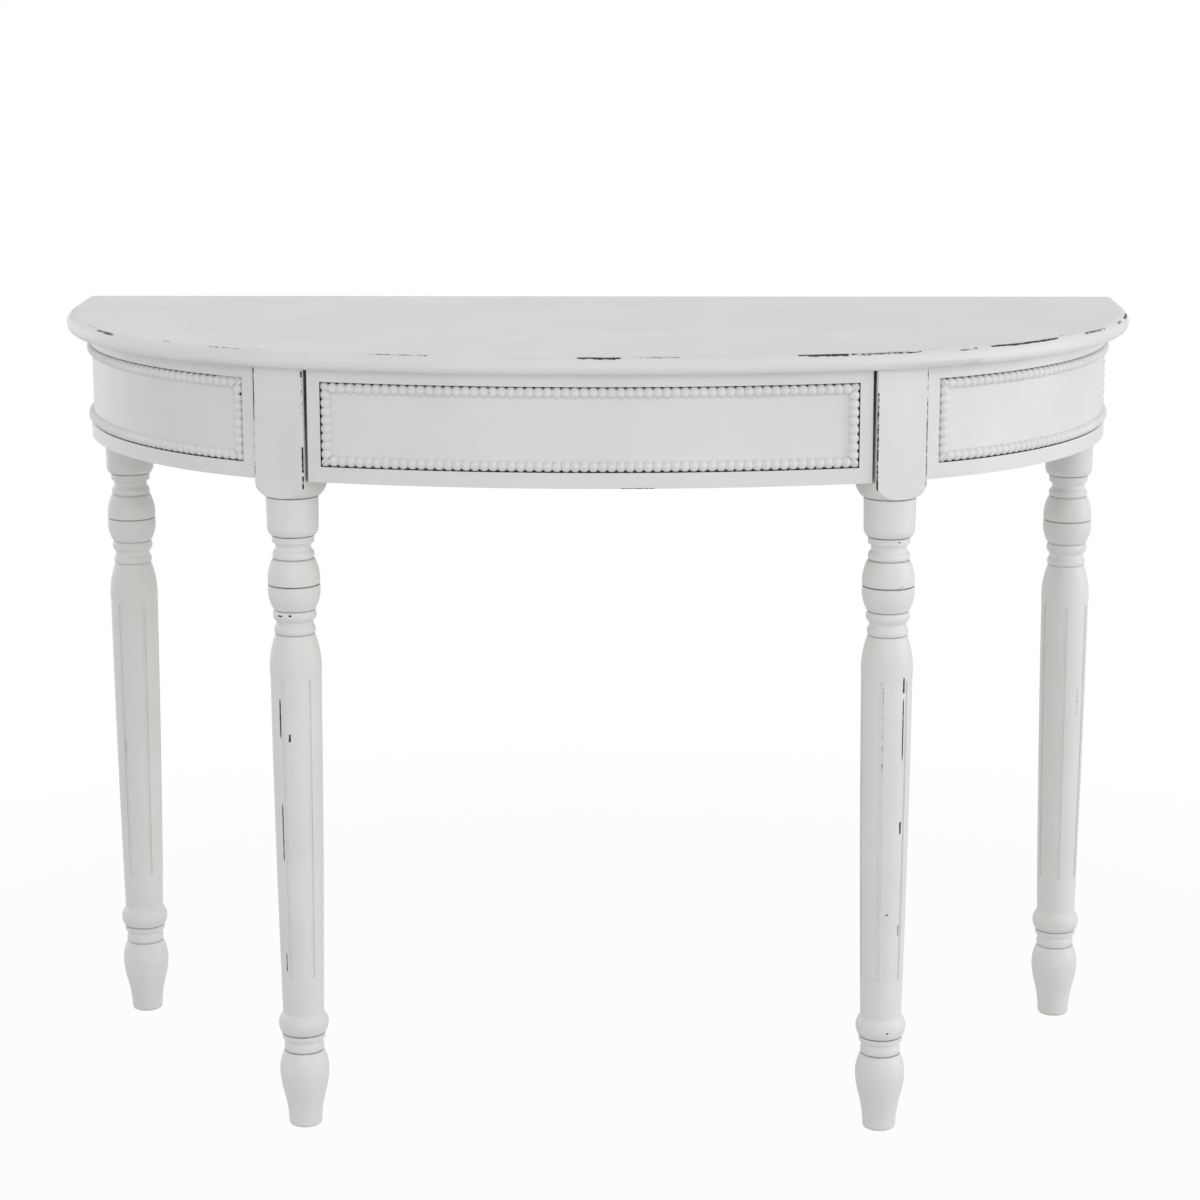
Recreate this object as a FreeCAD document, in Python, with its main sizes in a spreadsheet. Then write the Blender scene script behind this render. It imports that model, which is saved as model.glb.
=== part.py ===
import FreeCAD
import Part
import Sketcher
import math
import os

# Demilune console table: a flat back for the wall and a bowed front in three tangent arcs.
# Four turned and fluted legs carry the aprons, a shallow drawer fills the middle of the bow,
# and beaded frames line the drawer front and both side aprons.
# Frame: X to the right, Y from the bowed front to the flat back, Z up from the floor.
# Lengths are millimetres and turns are degrees.

SIZES = {
    "table_width": 1100,
    "table_depth": 480,
    "table_height": 780,
    "top_thickness": 17,
    "top_overhang": 15,
    "end_overhang": 22.5,
    "back_overhang": 16,
    "upper_rounding": 9.5,
    "upper_rounding_share": 0.56,
    "lower_rounding": 7,
    "lower_rounding_share": 0.42,
    "front_radius": 1058,
    "straight_lead": 5.62,
    "apron_height": 108,
    "apron_thickness": 12,
    "rail_thickness": 18,
    "block_width": 52,
    "block_proud": 4,
    "block_drop": 18,
    "arris_easing": 1,
    "pommel_height": 18,
    "pommel_swell": 2.5,
    "pommel_clearance": 0.5,
    "front_leg_turn": 21.1,
    "back_block_cover": 0.5,
    "flute_count": 6,
    "flute_width": 4,
    "flute_depth": 1.4,
    "flute_margin": 38,
    "flute_ramp": 3,
    "front_left_flute_turn": 6,
    "front_right_flute_turn": 16,
    "back_left_flute_turn": 2,
    "back_right_flute_turn": 26,
    "drawer_gap": 2.5,
    "drawer_head_gap": 1,
    "drawer_front_thickness": 18,
    "drawer_stop_gap": 0.3,
    "drawer_wall": 12,
    "drawer_top_gap": 2,
    "drawer_back_gap": 56,
    "drawer_lift": 0.3,
    "drawer_side_gap": 0.5,
    "drawer_bottom_thickness": 6,
    "drawer_bottom_up": 8,
    "groove_depth": 5,
    "front_rail_depth": 24,
    "front_rail_height": 18,
    "front_rail_up": 2,
    "ledge_thickness": 12,
    "runner_clearance": 5.2,
    "guide_width": 14,
    "guide_height": 18,
    "kicker_height": 18,
    "field_depth": 2.5,
    "field_bottom_margin": 15,
    "field_top_margin": 12,
    "drawer_stile_margin": 13,
    "side_stile_margin": 15,
    "side_field_end": 90.5,
    "bead_pitch": 8.5,
    "bead_width": 12,
    "bead_height": 5.5,
    "bead_waist": 0.6,
    "glue_line": 0.05,
    "fit_gap": 0.1,
    "dowel_radius": 3,
    "dowel_length": 28,
    "dowel_margin": 30,
    "drawer_dowel_margin": 14,
    "drawer_dowel_depth": 10,
    "drawer_dowel_skin": 4,
    "screw_radius": 2,
    "screw_head_radius": 4,
    "screw_head_height": 2.4,
    "top_screw_skin": 5,
    "rail_screw_bite": 20,
    "top_screw_margin": 60,
    "top_block_length": 60,
    "top_block_depth": 24,
    "side_block_turn": 56,
}

# The turned leg as a turner's story stick: name, height, radius and the swell of the curve
# that runs from this mark up to the next one. The lower marks are measured up from the
# floor and the upper ones down from the square block, so the shaft takes up any change.
LOWER_MARKS = [
    ("toe", 0, 14.5, 0.4),
    ("toe_edge", 3, 16.3, -0.8),
    ("ankle", 32, 20.3, 0.8),
    ("vase", 56, 24.4, 1.3),
    ("vase_top", 77, 20, 0),
    ("vase_groove", 78.2, 18.6, 0),
    ("ring_low", 79.2, 19.3, 0.5),
    ("ring_high", 86, 19, -0.6),
    ("neck", 90.5, 18.6, 0),
    ("fillet_low", 91, 21.2, 0),
    ("fillet_high", 95.5, 21.4, 0),
    ("collar_groove", 96.2, 20.2, 0),
    ("collar_low", 97, 21.8, 3.6),
    ("shaft_low", 117, 20.2, 0.75),
]
UPPER_MARKS = [
    ("shaft_high", 177, 24.8, 2.1),
    ("shaft_end", 138, 20, 0),
    ("shaft_groove", 135, 18.8, 0),
    ("low_bead_foot", 134, 19.4, 0.7),
    ("low_bead_head", 128, 19.2, -1.7),
    ("mid_bead_foot", 120.5, 19.8, 1.3),
    ("mid_bead_head", 112.3, 20, 0),
    ("barrel_groove", 111.4, 19.2, 0),
    ("barrel_low", 110.4, 20.6, 1.9),
    ("barrel_mid", 87.4, 25.1, 0),
    ("waist_groove", 86.5, 24.2, 0),
    ("barrel_upper", 85.6, 25.1, 1.5),
    ("barrel_high", 63, 21.2, 0),
    ("crown_groove", 61, 19.2, 0),
    ("high_bead_foot", 60, 19.8, 0.7),
    ("high_bead_head", 54, 19.2, -2.3),
    ("cap_low", 45.2, 19.4, 0),
    ("cap_edge", 45, 20.2, 0),
    ("cap_high", 39, 20.4, 0),
    ("drum_groove", 38.4, 19.6, 0),
    ("drum_low", 37.8, 21.8, 0.7),
    ("drum_shoulder", 31, 24.7, 0),
    ("drum_high", 0, 25.2, 0),
]

X_AXIS = FreeCAD.Vector(1, 0, 0)
Y_AXIS = FreeCAD.Vector(0, 1, 0)
Z_AXIS = FreeCAD.Vector(0, 0, 1)
SIDES = (("left", -1), ("right", 1))

doc = FreeCAD.newDocument("DemiluneTable")
nodes = {}


# Sheets: driving sizes, and the places worked out from them

def add_cells(sheet, cells):
    """Write each named value of cells on a row of its own, under its name as alias."""
    for row, (name, content) in enumerate(cells.items(), start=1):
        sheet.set(f"A{row}", name)
        sheet.set(f"B{row}", str(content))
        sheet.setAlias(f"B{row}", name)


def value(cell):
    """The number in a cell written as Sheet.alias, with a minus sign in front if mirrored."""
    if cell.startswith("-"):
        return -value(cell[1:])
    sheet_name, alias = cell.split(".")
    return float(doc.getObject(sheet_name).get(alias))


def arc_radius(start_x, start_y, end_x, end_y, swell):
    """Formula for the radius of an arc between two places with the given rise at its middle."""
    chord = f"(({end_x} - {start_x})^2 + ({end_y} - {start_y})^2)"
    return f"=({chord} + 4 * {swell}^2) / (8 * abs({swell}))"


def side_arc_radius(front_radius, bow_depth, half_width):
    """Formula for the radius of a side arc that leaves the wide front arc smoothly and ends straight
    back at half the width."""
    return (f"=(2 * {front_radius} * {bow_depth} - {bow_depth}^2 - {half_width}^2)"
            f" / (2 * ({front_radius} - {half_width}))")


def layout_cells():
    """Formulas for every place that two or more pieces share. The straight part of each side starts
    at the back block, and the side arcs of the aprons and of the top follow from it, from the wide
    arc of the front and from the overhangs. The back blocks stand just behind the sunk fields."""
    cells = {
        "half_width": "=Sizes.table_width / 2 - Sizes.end_overhang",
        "top_half_width": "=Sizes.table_width / 2",
        "top_underside": "=Sizes.table_height - Sizes.top_thickness",
        "apron_bottom": "=top_underside - Sizes.apron_height",
        "block_bottom": "=apron_bottom - Sizes.block_drop",
        "block_length": "=top_underside - block_bottom",
        "block_half": "=Sizes.block_width / 2",
        "apron_front_y": "=Sizes.top_overhang - Sizes.table_depth / 2",
        "front_centre_y": "=apron_front_y + Sizes.front_radius",
        "back_edge_y": "=Sizes.table_depth / 2",
        "rail_back_y": "=back_edge_y - Sizes.back_overhang",
        "rail_front_y": "=rail_back_y - Sizes.rail_thickness",
        "side_centre_y": "=rail_front_y - Sizes.block_width + Sizes.straight_lead",
        "bow_depth": "=side_centre_y - apron_front_y",
        "side_radius": side_arc_radius("Sizes.front_radius", "bow_depth", "half_width"),
        "side_centre_x": "=half_width - side_radius",
        "arc_step": "=Sizes.front_radius - side_radius",
        "joint_angle": "=asin(side_centre_x / arc_step) / 1 deg",
        "top_front_radius": "=Sizes.front_radius + Sizes.top_overhang",
        "top_bow_depth": "=bow_depth + Sizes.top_overhang",
        "top_side_radius": side_arc_radius("top_front_radius", "top_bow_depth", "top_half_width"),
        "top_arc_step": "=top_front_radius - top_side_radius",
        "top_joint_angle": "=asin((top_half_width - top_side_radius) / top_arc_step) / 1 deg",
        "top_joint_x": "=top_front_radius * sin(top_joint_angle)",
        "top_joint_y": "=front_centre_y - top_front_radius * cos(top_joint_angle)",
        "upper_edge_radius": "=min(Sizes.upper_rounding; Sizes.top_thickness * Sizes.upper_rounding_share)",
        "lower_edge_radius": "=min(Sizes.lower_rounding; Sizes.top_thickness * Sizes.lower_rounding_share)",
        "leg_sin": "=sin(Sizes.front_leg_turn)",
        "leg_cos": "=cos(Sizes.front_leg_turn)",
        "front_leg_reach": "=side_radius + Sizes.block_proud - block_half",
        "front_leg_x": "=side_centre_x + front_leg_reach * leg_sin",
        "front_leg_y": "=side_centre_y - front_leg_reach * leg_cos",
        "apron_inner_x": "=half_width - Sizes.apron_thickness",
        "back_leg_x": "=half_width - Sizes.field_depth - Sizes.back_block_cover - block_half",
        "back_leg_y": "=rail_front_y - block_half",
        "pommel_top": "=block_bottom + Sizes.pommel_height",
        "pommel_radius": "=block_half * sqrt(2) + Sizes.pommel_clearance",
        "pommel_clear": "=Sizes.block_width",
        "inner_radius": "=side_radius - Sizes.apron_thickness",
        "apron_outer_turn": "=Sizes.front_leg_turn + asin(block_half / side_radius) / 1 deg",
        "apron_inner_turn": "=Sizes.front_leg_turn + asin(block_half / inner_radius) / 1 deg",
        "field_bottom": "=apron_bottom + Sizes.field_bottom_margin",
        "field_top": "=top_underside - Sizes.field_top_margin",
        "field_height": "=field_top - field_bottom",
        "side_field_radius": "=side_radius - Sizes.field_depth",
        "side_clear_radius": "=side_radius + Sizes.field_depth",
        "side_field_start": "=Sizes.front_leg_turn"
                            " + asin((block_half + Sizes.side_stile_margin) / side_radius) / 1 deg",
        "front_field_radius": "=Sizes.front_radius - Sizes.field_depth",
        "front_clear_radius": "=Sizes.front_radius + Sizes.field_depth",
        "drawer_back_radius": "=Sizes.front_radius - Sizes.drawer_front_thickness",
        "drawer_groove_radius": "=drawer_back_radius + Sizes.groove_depth",
        "drawer_tongue_radius": "=drawer_groove_radius - Sizes.fit_gap",
        "drawer_clear_radius": "=drawer_back_radius - Sizes.groove_depth",
        "block_step": "=arc_step * sin(joint_angle - Sizes.front_leg_turn)",
        "drawer_end_step": "=block_step - block_half - Sizes.drawer_gap",
        "drawer_face_turn": "=Sizes.front_leg_turn + asin(drawer_end_step / Sizes.front_radius) / 1 deg",
        "drawer_back_turn": "=Sizes.front_leg_turn + asin(drawer_end_step / drawer_back_radius) / 1 deg",
        "drawer_stop_turn": "=Sizes.front_leg_turn"
                            " + asin((block_step - block_half) / drawer_back_radius) / 1 deg",
        "drawer_front_height": "=Sizes.apron_height - Sizes.drawer_head_gap",
        "drawer_field_turn": "=drawer_face_turn"
                             " - asin(Sizes.drawer_stile_margin / Sizes.front_radius) / 1 deg",
        "front_rail_y": "=front_centre_y - drawer_back_radius * cos(drawer_stop_turn)"
                        " + Sizes.drawer_stop_gap",
        "front_rail_back_y": "=front_rail_y + Sizes.front_rail_depth",
        "block_plane": "=side_centre_x * leg_cos + side_centre_y * leg_sin - block_half",
        "front_rail_x": "=(block_plane - front_rail_y * leg_sin) / leg_cos",
        "front_rail_back_x": "=(block_plane - front_rail_back_y * leg_sin) / leg_cos",
        "lower_rail_bottom": "=apron_bottom + Sizes.front_rail_up",
        "lower_rail_top": "=lower_rail_bottom + Sizes.front_rail_height",
        "top_rail_bottom": "=top_underside - Sizes.front_rail_height",
        "runner_length": "=rail_front_y - front_rail_back_y",
        "ledge_bottom": "=lower_rail_top - Sizes.ledge_thickness",
        "guide_top": "=lower_rail_top + Sizes.guide_height",
        "runner_outer_x": "=front_rail_back_x - Sizes.runner_clearance",
        "guide_x": "=runner_outer_x - Sizes.guide_width",
        "kicker_bottom": "=top_underside - Sizes.kicker_height",
        "back_block_x": "=(runner_outer_x + back_leg_x - block_half) / 2",
        "drawer_half_width": "=guide_x - Sizes.drawer_side_gap",
        "drawer_inner_x": "=drawer_half_width - Sizes.drawer_wall",
        "drawer_groove_x": "=drawer_inner_x + Sizes.groove_depth",
        "drawer_open_x": "=drawer_inner_x - Sizes.groove_depth",
        "drawer_tongue_x": "=drawer_groove_x - Sizes.fit_gap",
        "drawer_floor": "=lower_rail_top + Sizes.drawer_lift",
        "drawer_height": "=min(kicker_bottom; top_rail_bottom) - Sizes.drawer_top_gap - drawer_floor",
        "drawer_bottom_z": "=drawer_floor + Sizes.drawer_bottom_up",
        "drawer_groove_z": "=drawer_bottom_z - Sizes.fit_gap",
        "drawer_groove_height": "=Sizes.drawer_bottom_thickness + 2 * Sizes.fit_gap",
        "drawer_back_z": "=drawer_bottom_z + Sizes.drawer_bottom_thickness",
        "drawer_back_height": "=drawer_floor + drawer_height - drawer_back_z",
        "drawer_back_y": "=rail_front_y - Sizes.drawer_back_gap",
        "drawer_back_front_y": "=drawer_back_y - Sizes.drawer_wall",
        "cope_inner_y": "=front_centre_y - sqrt(drawer_back_radius^2 - drawer_inner_x^2)",
        "cope_outer_y": "=front_centre_y - sqrt(drawer_back_radius^2 - drawer_half_width^2)",
        "tongue_y": "=front_centre_y - sqrt(drawer_tongue_radius^2 - drawer_tongue_x^2)",
        "groove_front_y": "=front_centre_y - sqrt(drawer_groove_radius^2 - drawer_groove_x^2)",
        "groove_clear_y": "=front_centre_y - sqrt(drawer_clear_radius^2 - drawer_groove_x^2)",
    }
    places = {
        "apron_outer": ("side", "side_radius", "apron_outer_turn"),
        "apron_end": ("side", "inner_radius", "apron_inner_turn"),
        "side_field_low": ("side", "side_field_radius", "side_field_start"),
        "side_field_high": ("side", "side_field_radius", "Sizes.side_field_end"),
        "side_clear_low": ("side", "side_clear_radius", "side_field_start"),
        "side_clear_high": ("side", "side_clear_radius", "Sizes.side_field_end"),
        "drawer_face": ("front", "Sizes.front_radius", "drawer_face_turn"),
        "drawer_rear": ("front", "drawer_back_radius", "drawer_back_turn"),
        "drawer_field": ("front", "front_field_radius", "drawer_field_turn"),
        "drawer_clear": ("front", "front_clear_radius", "drawer_field_turn"),
    }
    for name, (centre, radius, turn) in places.items():
        centre_x = "side_centre_x + " if centre == "side" else ""
        cells[f"{name}_x"] = f"={centre_x}{radius} * sin({turn})"
        cells[f"{name}_y"] = f"={centre}_centre_y - {radius} * cos({turn})"
    return cells


def size_cells():
    """Driving sizes, with the marks of the turned leg among them."""
    cells = dict(SIZES)
    for measure, marks in (("up", LOWER_MARKS), ("down", UPPER_MARKS)):
        for name, height, radius, swell in marks:
            cells[f"{name}_{measure}"] = height
            cells[f"{name}_radius"] = radius
            if swell:
                cells[f"{name}_swell"] = swell
    return cells


def turning_cells():
    """Heights above the floor and arc radii of the marks on the turned leg."""
    cells = {}
    for name, height, radius, swell in LOWER_MARKS:
        cells[f"{name}_z"] = f"=Sizes.{name}_up"
    for name, drop, radius, swell in UPPER_MARKS:
        cells[f"{name}_z"] = f"=Layout.block_bottom - Sizes.{name}_down"
    marks = LOWER_MARKS + UPPER_MARKS
    for mark, following in zip(marks, marks[1:]):
        name, swell, upper = mark[0], mark[3], following[0]
        if swell:
            cells[f"{name}_arc"] = arc_radius(
                f"Sizes.{name}_radius", f"{name}_z", f"Sizes.{upper}_radius", f"{upper}_z",
                f"Sizes.{name}_swell")
    cells["pommel_arc"] = arc_radius(
        "Sizes.drum_high_radius", "Layout.block_bottom",
        "Layout.pommel_radius", "Layout.pommel_top", "Sizes.pommel_swell")
    cells["flute_low_z"] = "=shaft_low_z + Sizes.flute_margin"
    cells["flute_high_z"] = "=shaft_end_z - Sizes.flute_margin"
    cells["flute_low_floor_z"] = "=flute_low_z + Sizes.flute_ramp"
    cells["flute_high_floor_z"] = "=flute_high_z - Sizes.flute_ramp"
    for end in ("low", "high"):
        share = f"flute_{end}_share"
        cells[share] = f"=(flute_{end}_floor_z - shaft_low_z) / (shaft_high_z - shaft_low_z)"
        cells[f"flute_{end}_face"] = (
            "=Sizes.shaft_low_radius"
            f" + (Sizes.shaft_high_radius - Sizes.shaft_low_radius) * {share}"
            f" + 4 * Sizes.shaft_low_swell * {share} * (1 - {share})")
        cells[f"flute_{end}_floor"] = f"=flute_{end}_face - Sizes.flute_depth"
    cells["flute_clear"] = "=Sizes.shaft_high_radius + Sizes.flute_depth"
    return cells


add_cells(doc.addObject("Spreadsheet::Sheet", "Sizes"), size_cells())
add_cells(doc.addObject("Spreadsheet::Sheet", "Layout"), layout_cells())
add_cells(doc.addObject("Spreadsheet::Sheet", "Turning"), turning_cells())
doc.recompute()


# Helpers for sketches, pads, cuts and round fastenings

def size(name):
    """A driving size as a number."""
    return value(f"Sizes.{name}")


def place(name):
    """A place of the layout as a number."""
    return value(f"Layout.{name}")


def new_body(name):
    """Empty body for one piece."""
    return doc.addObject("PartDesign::Body", f"{name}_body")


def new_sketch(body, name, role, lift=None):
    """Sketch on one of the body's own origin planes, moved along its normal to a cell."""
    sketch = body.newObject("Sketcher::SketchObject", f"{body.Name}_{name}")
    plane = next(feature for feature in body.Origin.OriginFeatures if feature.Role == role)
    sketch.AttachmentSupport = [(plane, "")]
    sketch.MapMode = "FlatFace"
    if lift:
        sketch.setExpression("AttachmentOffset.Base.z", lift)
    return sketch


def outline(sketch, corners, mirror=False):
    """Closed outline through corners: two cells each, None standing for the sketch's own
    axis, and where an arc follows, its radius cell and the side it bulges to, 1 for the
    left of the way round and -1 for the right."""
    flip = -1 if mirror else 1
    points = []
    for corner in corners:
        across = value(corner[0]) * flip if corner[0] else 0
        points.append(FreeCAD.Vector(across, value(corner[1]) if corner[1] else 0, 0))
    count = len(corners)
    tips = []
    for index, corner in enumerate(corners):
        start, end = points[index], points[(index + 1) % count]
        if len(corner) == 2:
            sketch.addGeometry(Part.LineSegment(start, end))
            tips.append((1, 2))
            continue
        bulge = corner[3] * flip
        radius = value(corner[2])
        chord = end - start
        rise = radius - math.sqrt(radius ** 2 - chord.Length ** 2 / 4)
        left = FreeCAD.Vector(-chord.y, chord.x, 0).normalize()
        sketch.addGeometry(Part.Arc(start, (start + end) * 0.5 + left * rise * bulge, end))
        tips.append((1, 2) if bulge < 0 else (2, 1))
    for index, corner in enumerate(corners):
        after = (index + 1) % count
        tip = tips[index][0]
        sketch.addConstraint(
            Sketcher.Constraint("Coincident", index, tips[index][1], after, tips[after][0]))
        bind_corner(sketch, index, tip, corner, points[index], flip)
        if len(corner) > 2:
            radius = sketch.addConstraint(Sketcher.Constraint("Radius", index, value(corner[2])))
            sketch.setExpression(f"Constraints[{radius}]", corner[2])


def bind_corner(sketch, edge, tip, corner, point, flip):
    """Tie one corner of an outline to its two cells, or to the sketch's axes."""
    across, up = corner[:2]
    if across:
        row = sketch.addConstraint(Sketcher.Constraint("DistanceX", -1, 1, edge, tip, point.x))
        sketch.setExpression(f"Constraints[{row}]", across if flip > 0 else f"-1 * ({across})")
    else:
        sketch.addConstraint(Sketcher.Constraint("PointOnObject", edge, tip, -2))
    if up:
        row = sketch.addConstraint(Sketcher.Constraint("DistanceY", -1, 1, edge, tip, point.y))
        sketch.setExpression(f"Constraints[{row}]", up)
    else:
        sketch.addConstraint(Sketcher.Constraint("PointOnObject", edge, tip, -1))


def pad(body, sketch, length):
    """Raise a sketch along its normal by a cell's length."""
    feature = body.newObject("PartDesign::Pad", f"{sketch.Name}_pad")
    feature.Profile = sketch
    feature.setExpression("Length", length)
    return feature


def pocket(body, sketch, length, symmetric=False):
    """Cut a sketch upwards by a cell's length, or half to each side, and check that it cuts."""
    doc.recompute()
    before = body.Shape.Volume
    feature = body.newObject("PartDesign::Pocket", f"{sketch.Name}_pocket")
    feature.Profile = sketch
    feature.setExpression("Length", length)
    feature.SideType = "Symmetric" if symmetric else "One side"
    feature.Reversed = not symmetric
    doc.recompute()
    if body.Shape.Volume >= before:
        raise RuntimeError(f"{sketch.Name} cuts nothing")
    return feature


def aim(base, direction):
    """Placement at base with its own Z along direction."""
    return FreeCAD.Placement(base, FreeCAD.Rotation(Z_AXIS, direction))


def rod(name, base, direction, radius, length):
    """Plain round bar from base along direction."""
    bar = doc.addObject("Part::Cylinder", name)
    bar.setExpression("Radius", radius)
    bar.setExpression("Height", length)
    bar.Placement = aim(base, direction)
    return bar


def screw(name, head, direction, length, gap):
    """Countersunk screw from the flat of its head along direction, widened by gap all round."""
    cone = doc.addObject("Part::Cone", f"{name}_head")
    cone.setExpression("Radius1", f"Sizes.screw_head_radius + {gap}")
    cone.setExpression("Radius2", f"Sizes.screw_radius + {gap}")
    cone.setExpression("Height", "Sizes.screw_head_height")
    cone.Placement = aim(head, direction)
    shank = rod(f"{name}_shank", head, direction, f"Sizes.screw_radius + {gap}", f"{length} + {gap}")
    body = doc.addObject("Part::Fuse", name)
    body.Base = cone
    body.Tool = shank
    return body


def group(name, members):
    """Several separate solids as one piece."""
    compound = doc.addObject("Part::Compound", name)
    compound.Links = members
    return compound


def keep(name, shape_object, bores=()):
    """Name a finished piece, with the holes for its fastenings taken out."""
    if bores:
        cut = doc.addObject("Part::Cut", name)
        cut.Base = shape_object
        cut.Tool = group(f"{name}_bores", list(bores))
        shape_object = cut
    shape_object.Label = name
    nodes[name] = shape_object


def box(name, low, spans):
    """Box whose low corner and three spans are cells or formulas on cells."""
    solid = doc.addObject("Part::Box", name)
    for axis, corner in zip("xyz", low):
        solid.setExpression(f"Placement.Base.{axis}", corner)
    for side, span in zip(("Length", "Width", "Height"), spans):
        solid.setExpression(side, span)
    return solid


# Fastenings: dowels and screws, each with the bore that takes it

DOWEL_BORE = "Sizes.dowel_radius + Sizes.fit_gap"
fastenings = {}
bores = {}


def note_bore(piece, bore):
    """Remember a bore for the piece that it is drilled in."""
    bores.setdefault(piece, []).append(bore)


def dowel(set_name, seam, direction, pieces, near_share=0.5):
    """Dowel across a seam, with the given share of its length on the near side, and its bores."""
    row = len(fastenings.setdefault(set_name, []))
    name = f"{set_name}_{row}"
    near = direction * (size("dowel_length") * near_share)
    fastenings[set_name].append(
        rod(name, seam - near, direction, "Sizes.dowel_radius", "Sizes.dowel_length"))
    slack = direction * size("fit_gap")
    for piece in pieces:
        note_bore(piece, rod(f"{name}_in_{piece}", seam - near - slack, direction, DOWEL_BORE,
                             "Sizes.dowel_length + 2 * Sizes.fit_gap"))


def drive_screw(set_name, head, direction, length, pieces):
    """Screw driven from its head through pieces, and its bores."""
    row = len(fastenings.setdefault(set_name, []))
    name = f"{set_name}_{row}"
    fastenings[set_name].append(screw(name, head, direction, length, "0"))
    for piece in pieces:
        note_bore(piece, screw(f"{name}_in_{piece}", head, direction, length, "Sizes.fit_gap"))


def lay_out_fastenings():
    """Place every dowel and screw from the seams that they cross."""
    turn = math.radians(size("front_leg_turn"))
    dowel_heights = [place("apron_bottom") + size("dowel_margin"),
                     place("top_underside") - size("dowel_margin")]
    runner_x = (place("drawer_inner_x") + place("runner_outer_x")) / 2
    wall_x = (place("drawer_inner_x") + place("drawer_half_width")) / 2
    front_radius = place("drawer_back_radius")
    wall_y = place("front_centre_y") - math.sqrt(front_radius ** 2 - wall_x ** 2)
    drawer_heights = [place("drawer_back_z") + size("drawer_dowel_margin"),
                      place("drawer_floor") + place("drawer_height") - size("drawer_dowel_margin")]
    rail_heights = {"front_lower_rail": (place("lower_rail_bottom") + place("lower_rail_top")) / 2,
                    "front_top_rail": (place("top_rail_bottom") + place("top_underside")) / 2}
    runner_z = (place("ledge_bottom") + place("lower_rail_top")) / 2
    for side, sign in SIDES:
        leg = FreeCAD.Vector(sign * place("front_leg_x"), place("front_leg_y"), 0)
        outward = FreeCAD.Vector(sign * math.sin(turn), -math.cos(turn), 0)
        along = FreeCAD.Vector(sign * math.cos(turn), math.sin(turn), 0)
        middle = place("side_radius") - size("apron_thickness") / 2
        apron_reach = math.sqrt(middle ** 2 - place("block_half") ** 2) - place("front_leg_reach")
        for height in dowel_heights:
            seam = leg + along * place("block_half") + outward * apron_reach + Z_AXIS * height
            dowel("apron_dowels", seam, along, (f"front_leg_{side}", f"side_apron_{side}"))
        rail_y = (place("front_rail_y") + place("front_rail_back_y")) / 2
        corner = leg - along * place("block_half")
        rail_reach = (corner.y - rail_y) / math.cos(turn)
        for rail, height in rail_heights.items():
            seam = corner + outward * rail_reach + Z_AXIS * height
            dowel("rail_dowels", seam, along, (f"front_leg_{side}", rail))
        for rail, rail_face in (("front_lower_rail", "front_rail_back_y"), ("back_rail", "rail_front_y")):
            direction = Y_AXIS if rail == "front_lower_rail" else -Y_AXIS
            seam = FreeCAD.Vector(sign * runner_x, place(rail_face), runner_z)
            share = size("drawer_dowel_depth") / size("dowel_length")
            dowel("runner_dowels", seam, direction, (rail, f"runner_{side}"), share)
        for height in drawer_heights:
            share = size("drawer_dowel_depth") / size("dowel_length")
            seam = FreeCAD.Vector(sign * wall_x, wall_y, height)
            dowel("drawer_dowels", seam, Y_AXIS, ("drawer_front", f"drawer_{side}_side"), share)
            back_y = (place("drawer_back_front_y") + place("drawer_back_y")) / 2
            seam = FreeCAD.Vector(sign * place("drawer_inner_x"), back_y, height)
            share = (size("drawer_wall") - size("drawer_dowel_skin")) / size("dowel_length")
            dowel("drawer_dowels", seam, X_AXIS * -sign, (f"drawer_{side}_side", "drawer_back"), share)
        for height in dowel_heights:
            head = FreeCAD.Vector(sign * place("back_leg_x"), place("rail_back_y"), height)
            drive_screw("rail_screws", head, -Y_AXIS, "Sizes.rail_thickness + Sizes.rail_screw_bite",
                        ("back_rail", f"back_leg_{side}"))
        top_length = "Sizes.kicker_height + Sizes.top_thickness - Sizes.top_screw_skin"
        for screw_y in (place("front_rail_back_y") + size("top_screw_margin"),
                        place("rail_front_y") - size("top_screw_margin")):
            head = FreeCAD.Vector(sign * runner_x, screw_y, place("kicker_bottom"))
            drive_screw("top_screws", head, Z_AXIS, top_length, (f"kicker_{side}", "top"))
        for centre in top_block_centres(sign):
            head = centre + Z_AXIS * place("kicker_bottom")
            drive_screw("top_screws", head, Z_AXIS, top_length, ("top_blocks", "top"))


def top_block_centres(sign):
    """Middles of the glue blocks on one side: on the back rail and inside the side apron."""
    half_depth = size("top_block_depth") / 2
    turn = math.radians(size("side_block_turn"))
    reach = place("inner_radius") - half_depth
    on_rail = FreeCAD.Vector(sign * place("back_block_x"), place("rail_front_y") - half_depth, 0)
    on_apron = FreeCAD.Vector(sign * (place("side_centre_x") + reach * math.sin(turn)),
                              place("side_centre_y") - reach * math.cos(turn), 0)
    return on_rail, on_apron


# Turned legs with their square blocks, pommels and flutes

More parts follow.
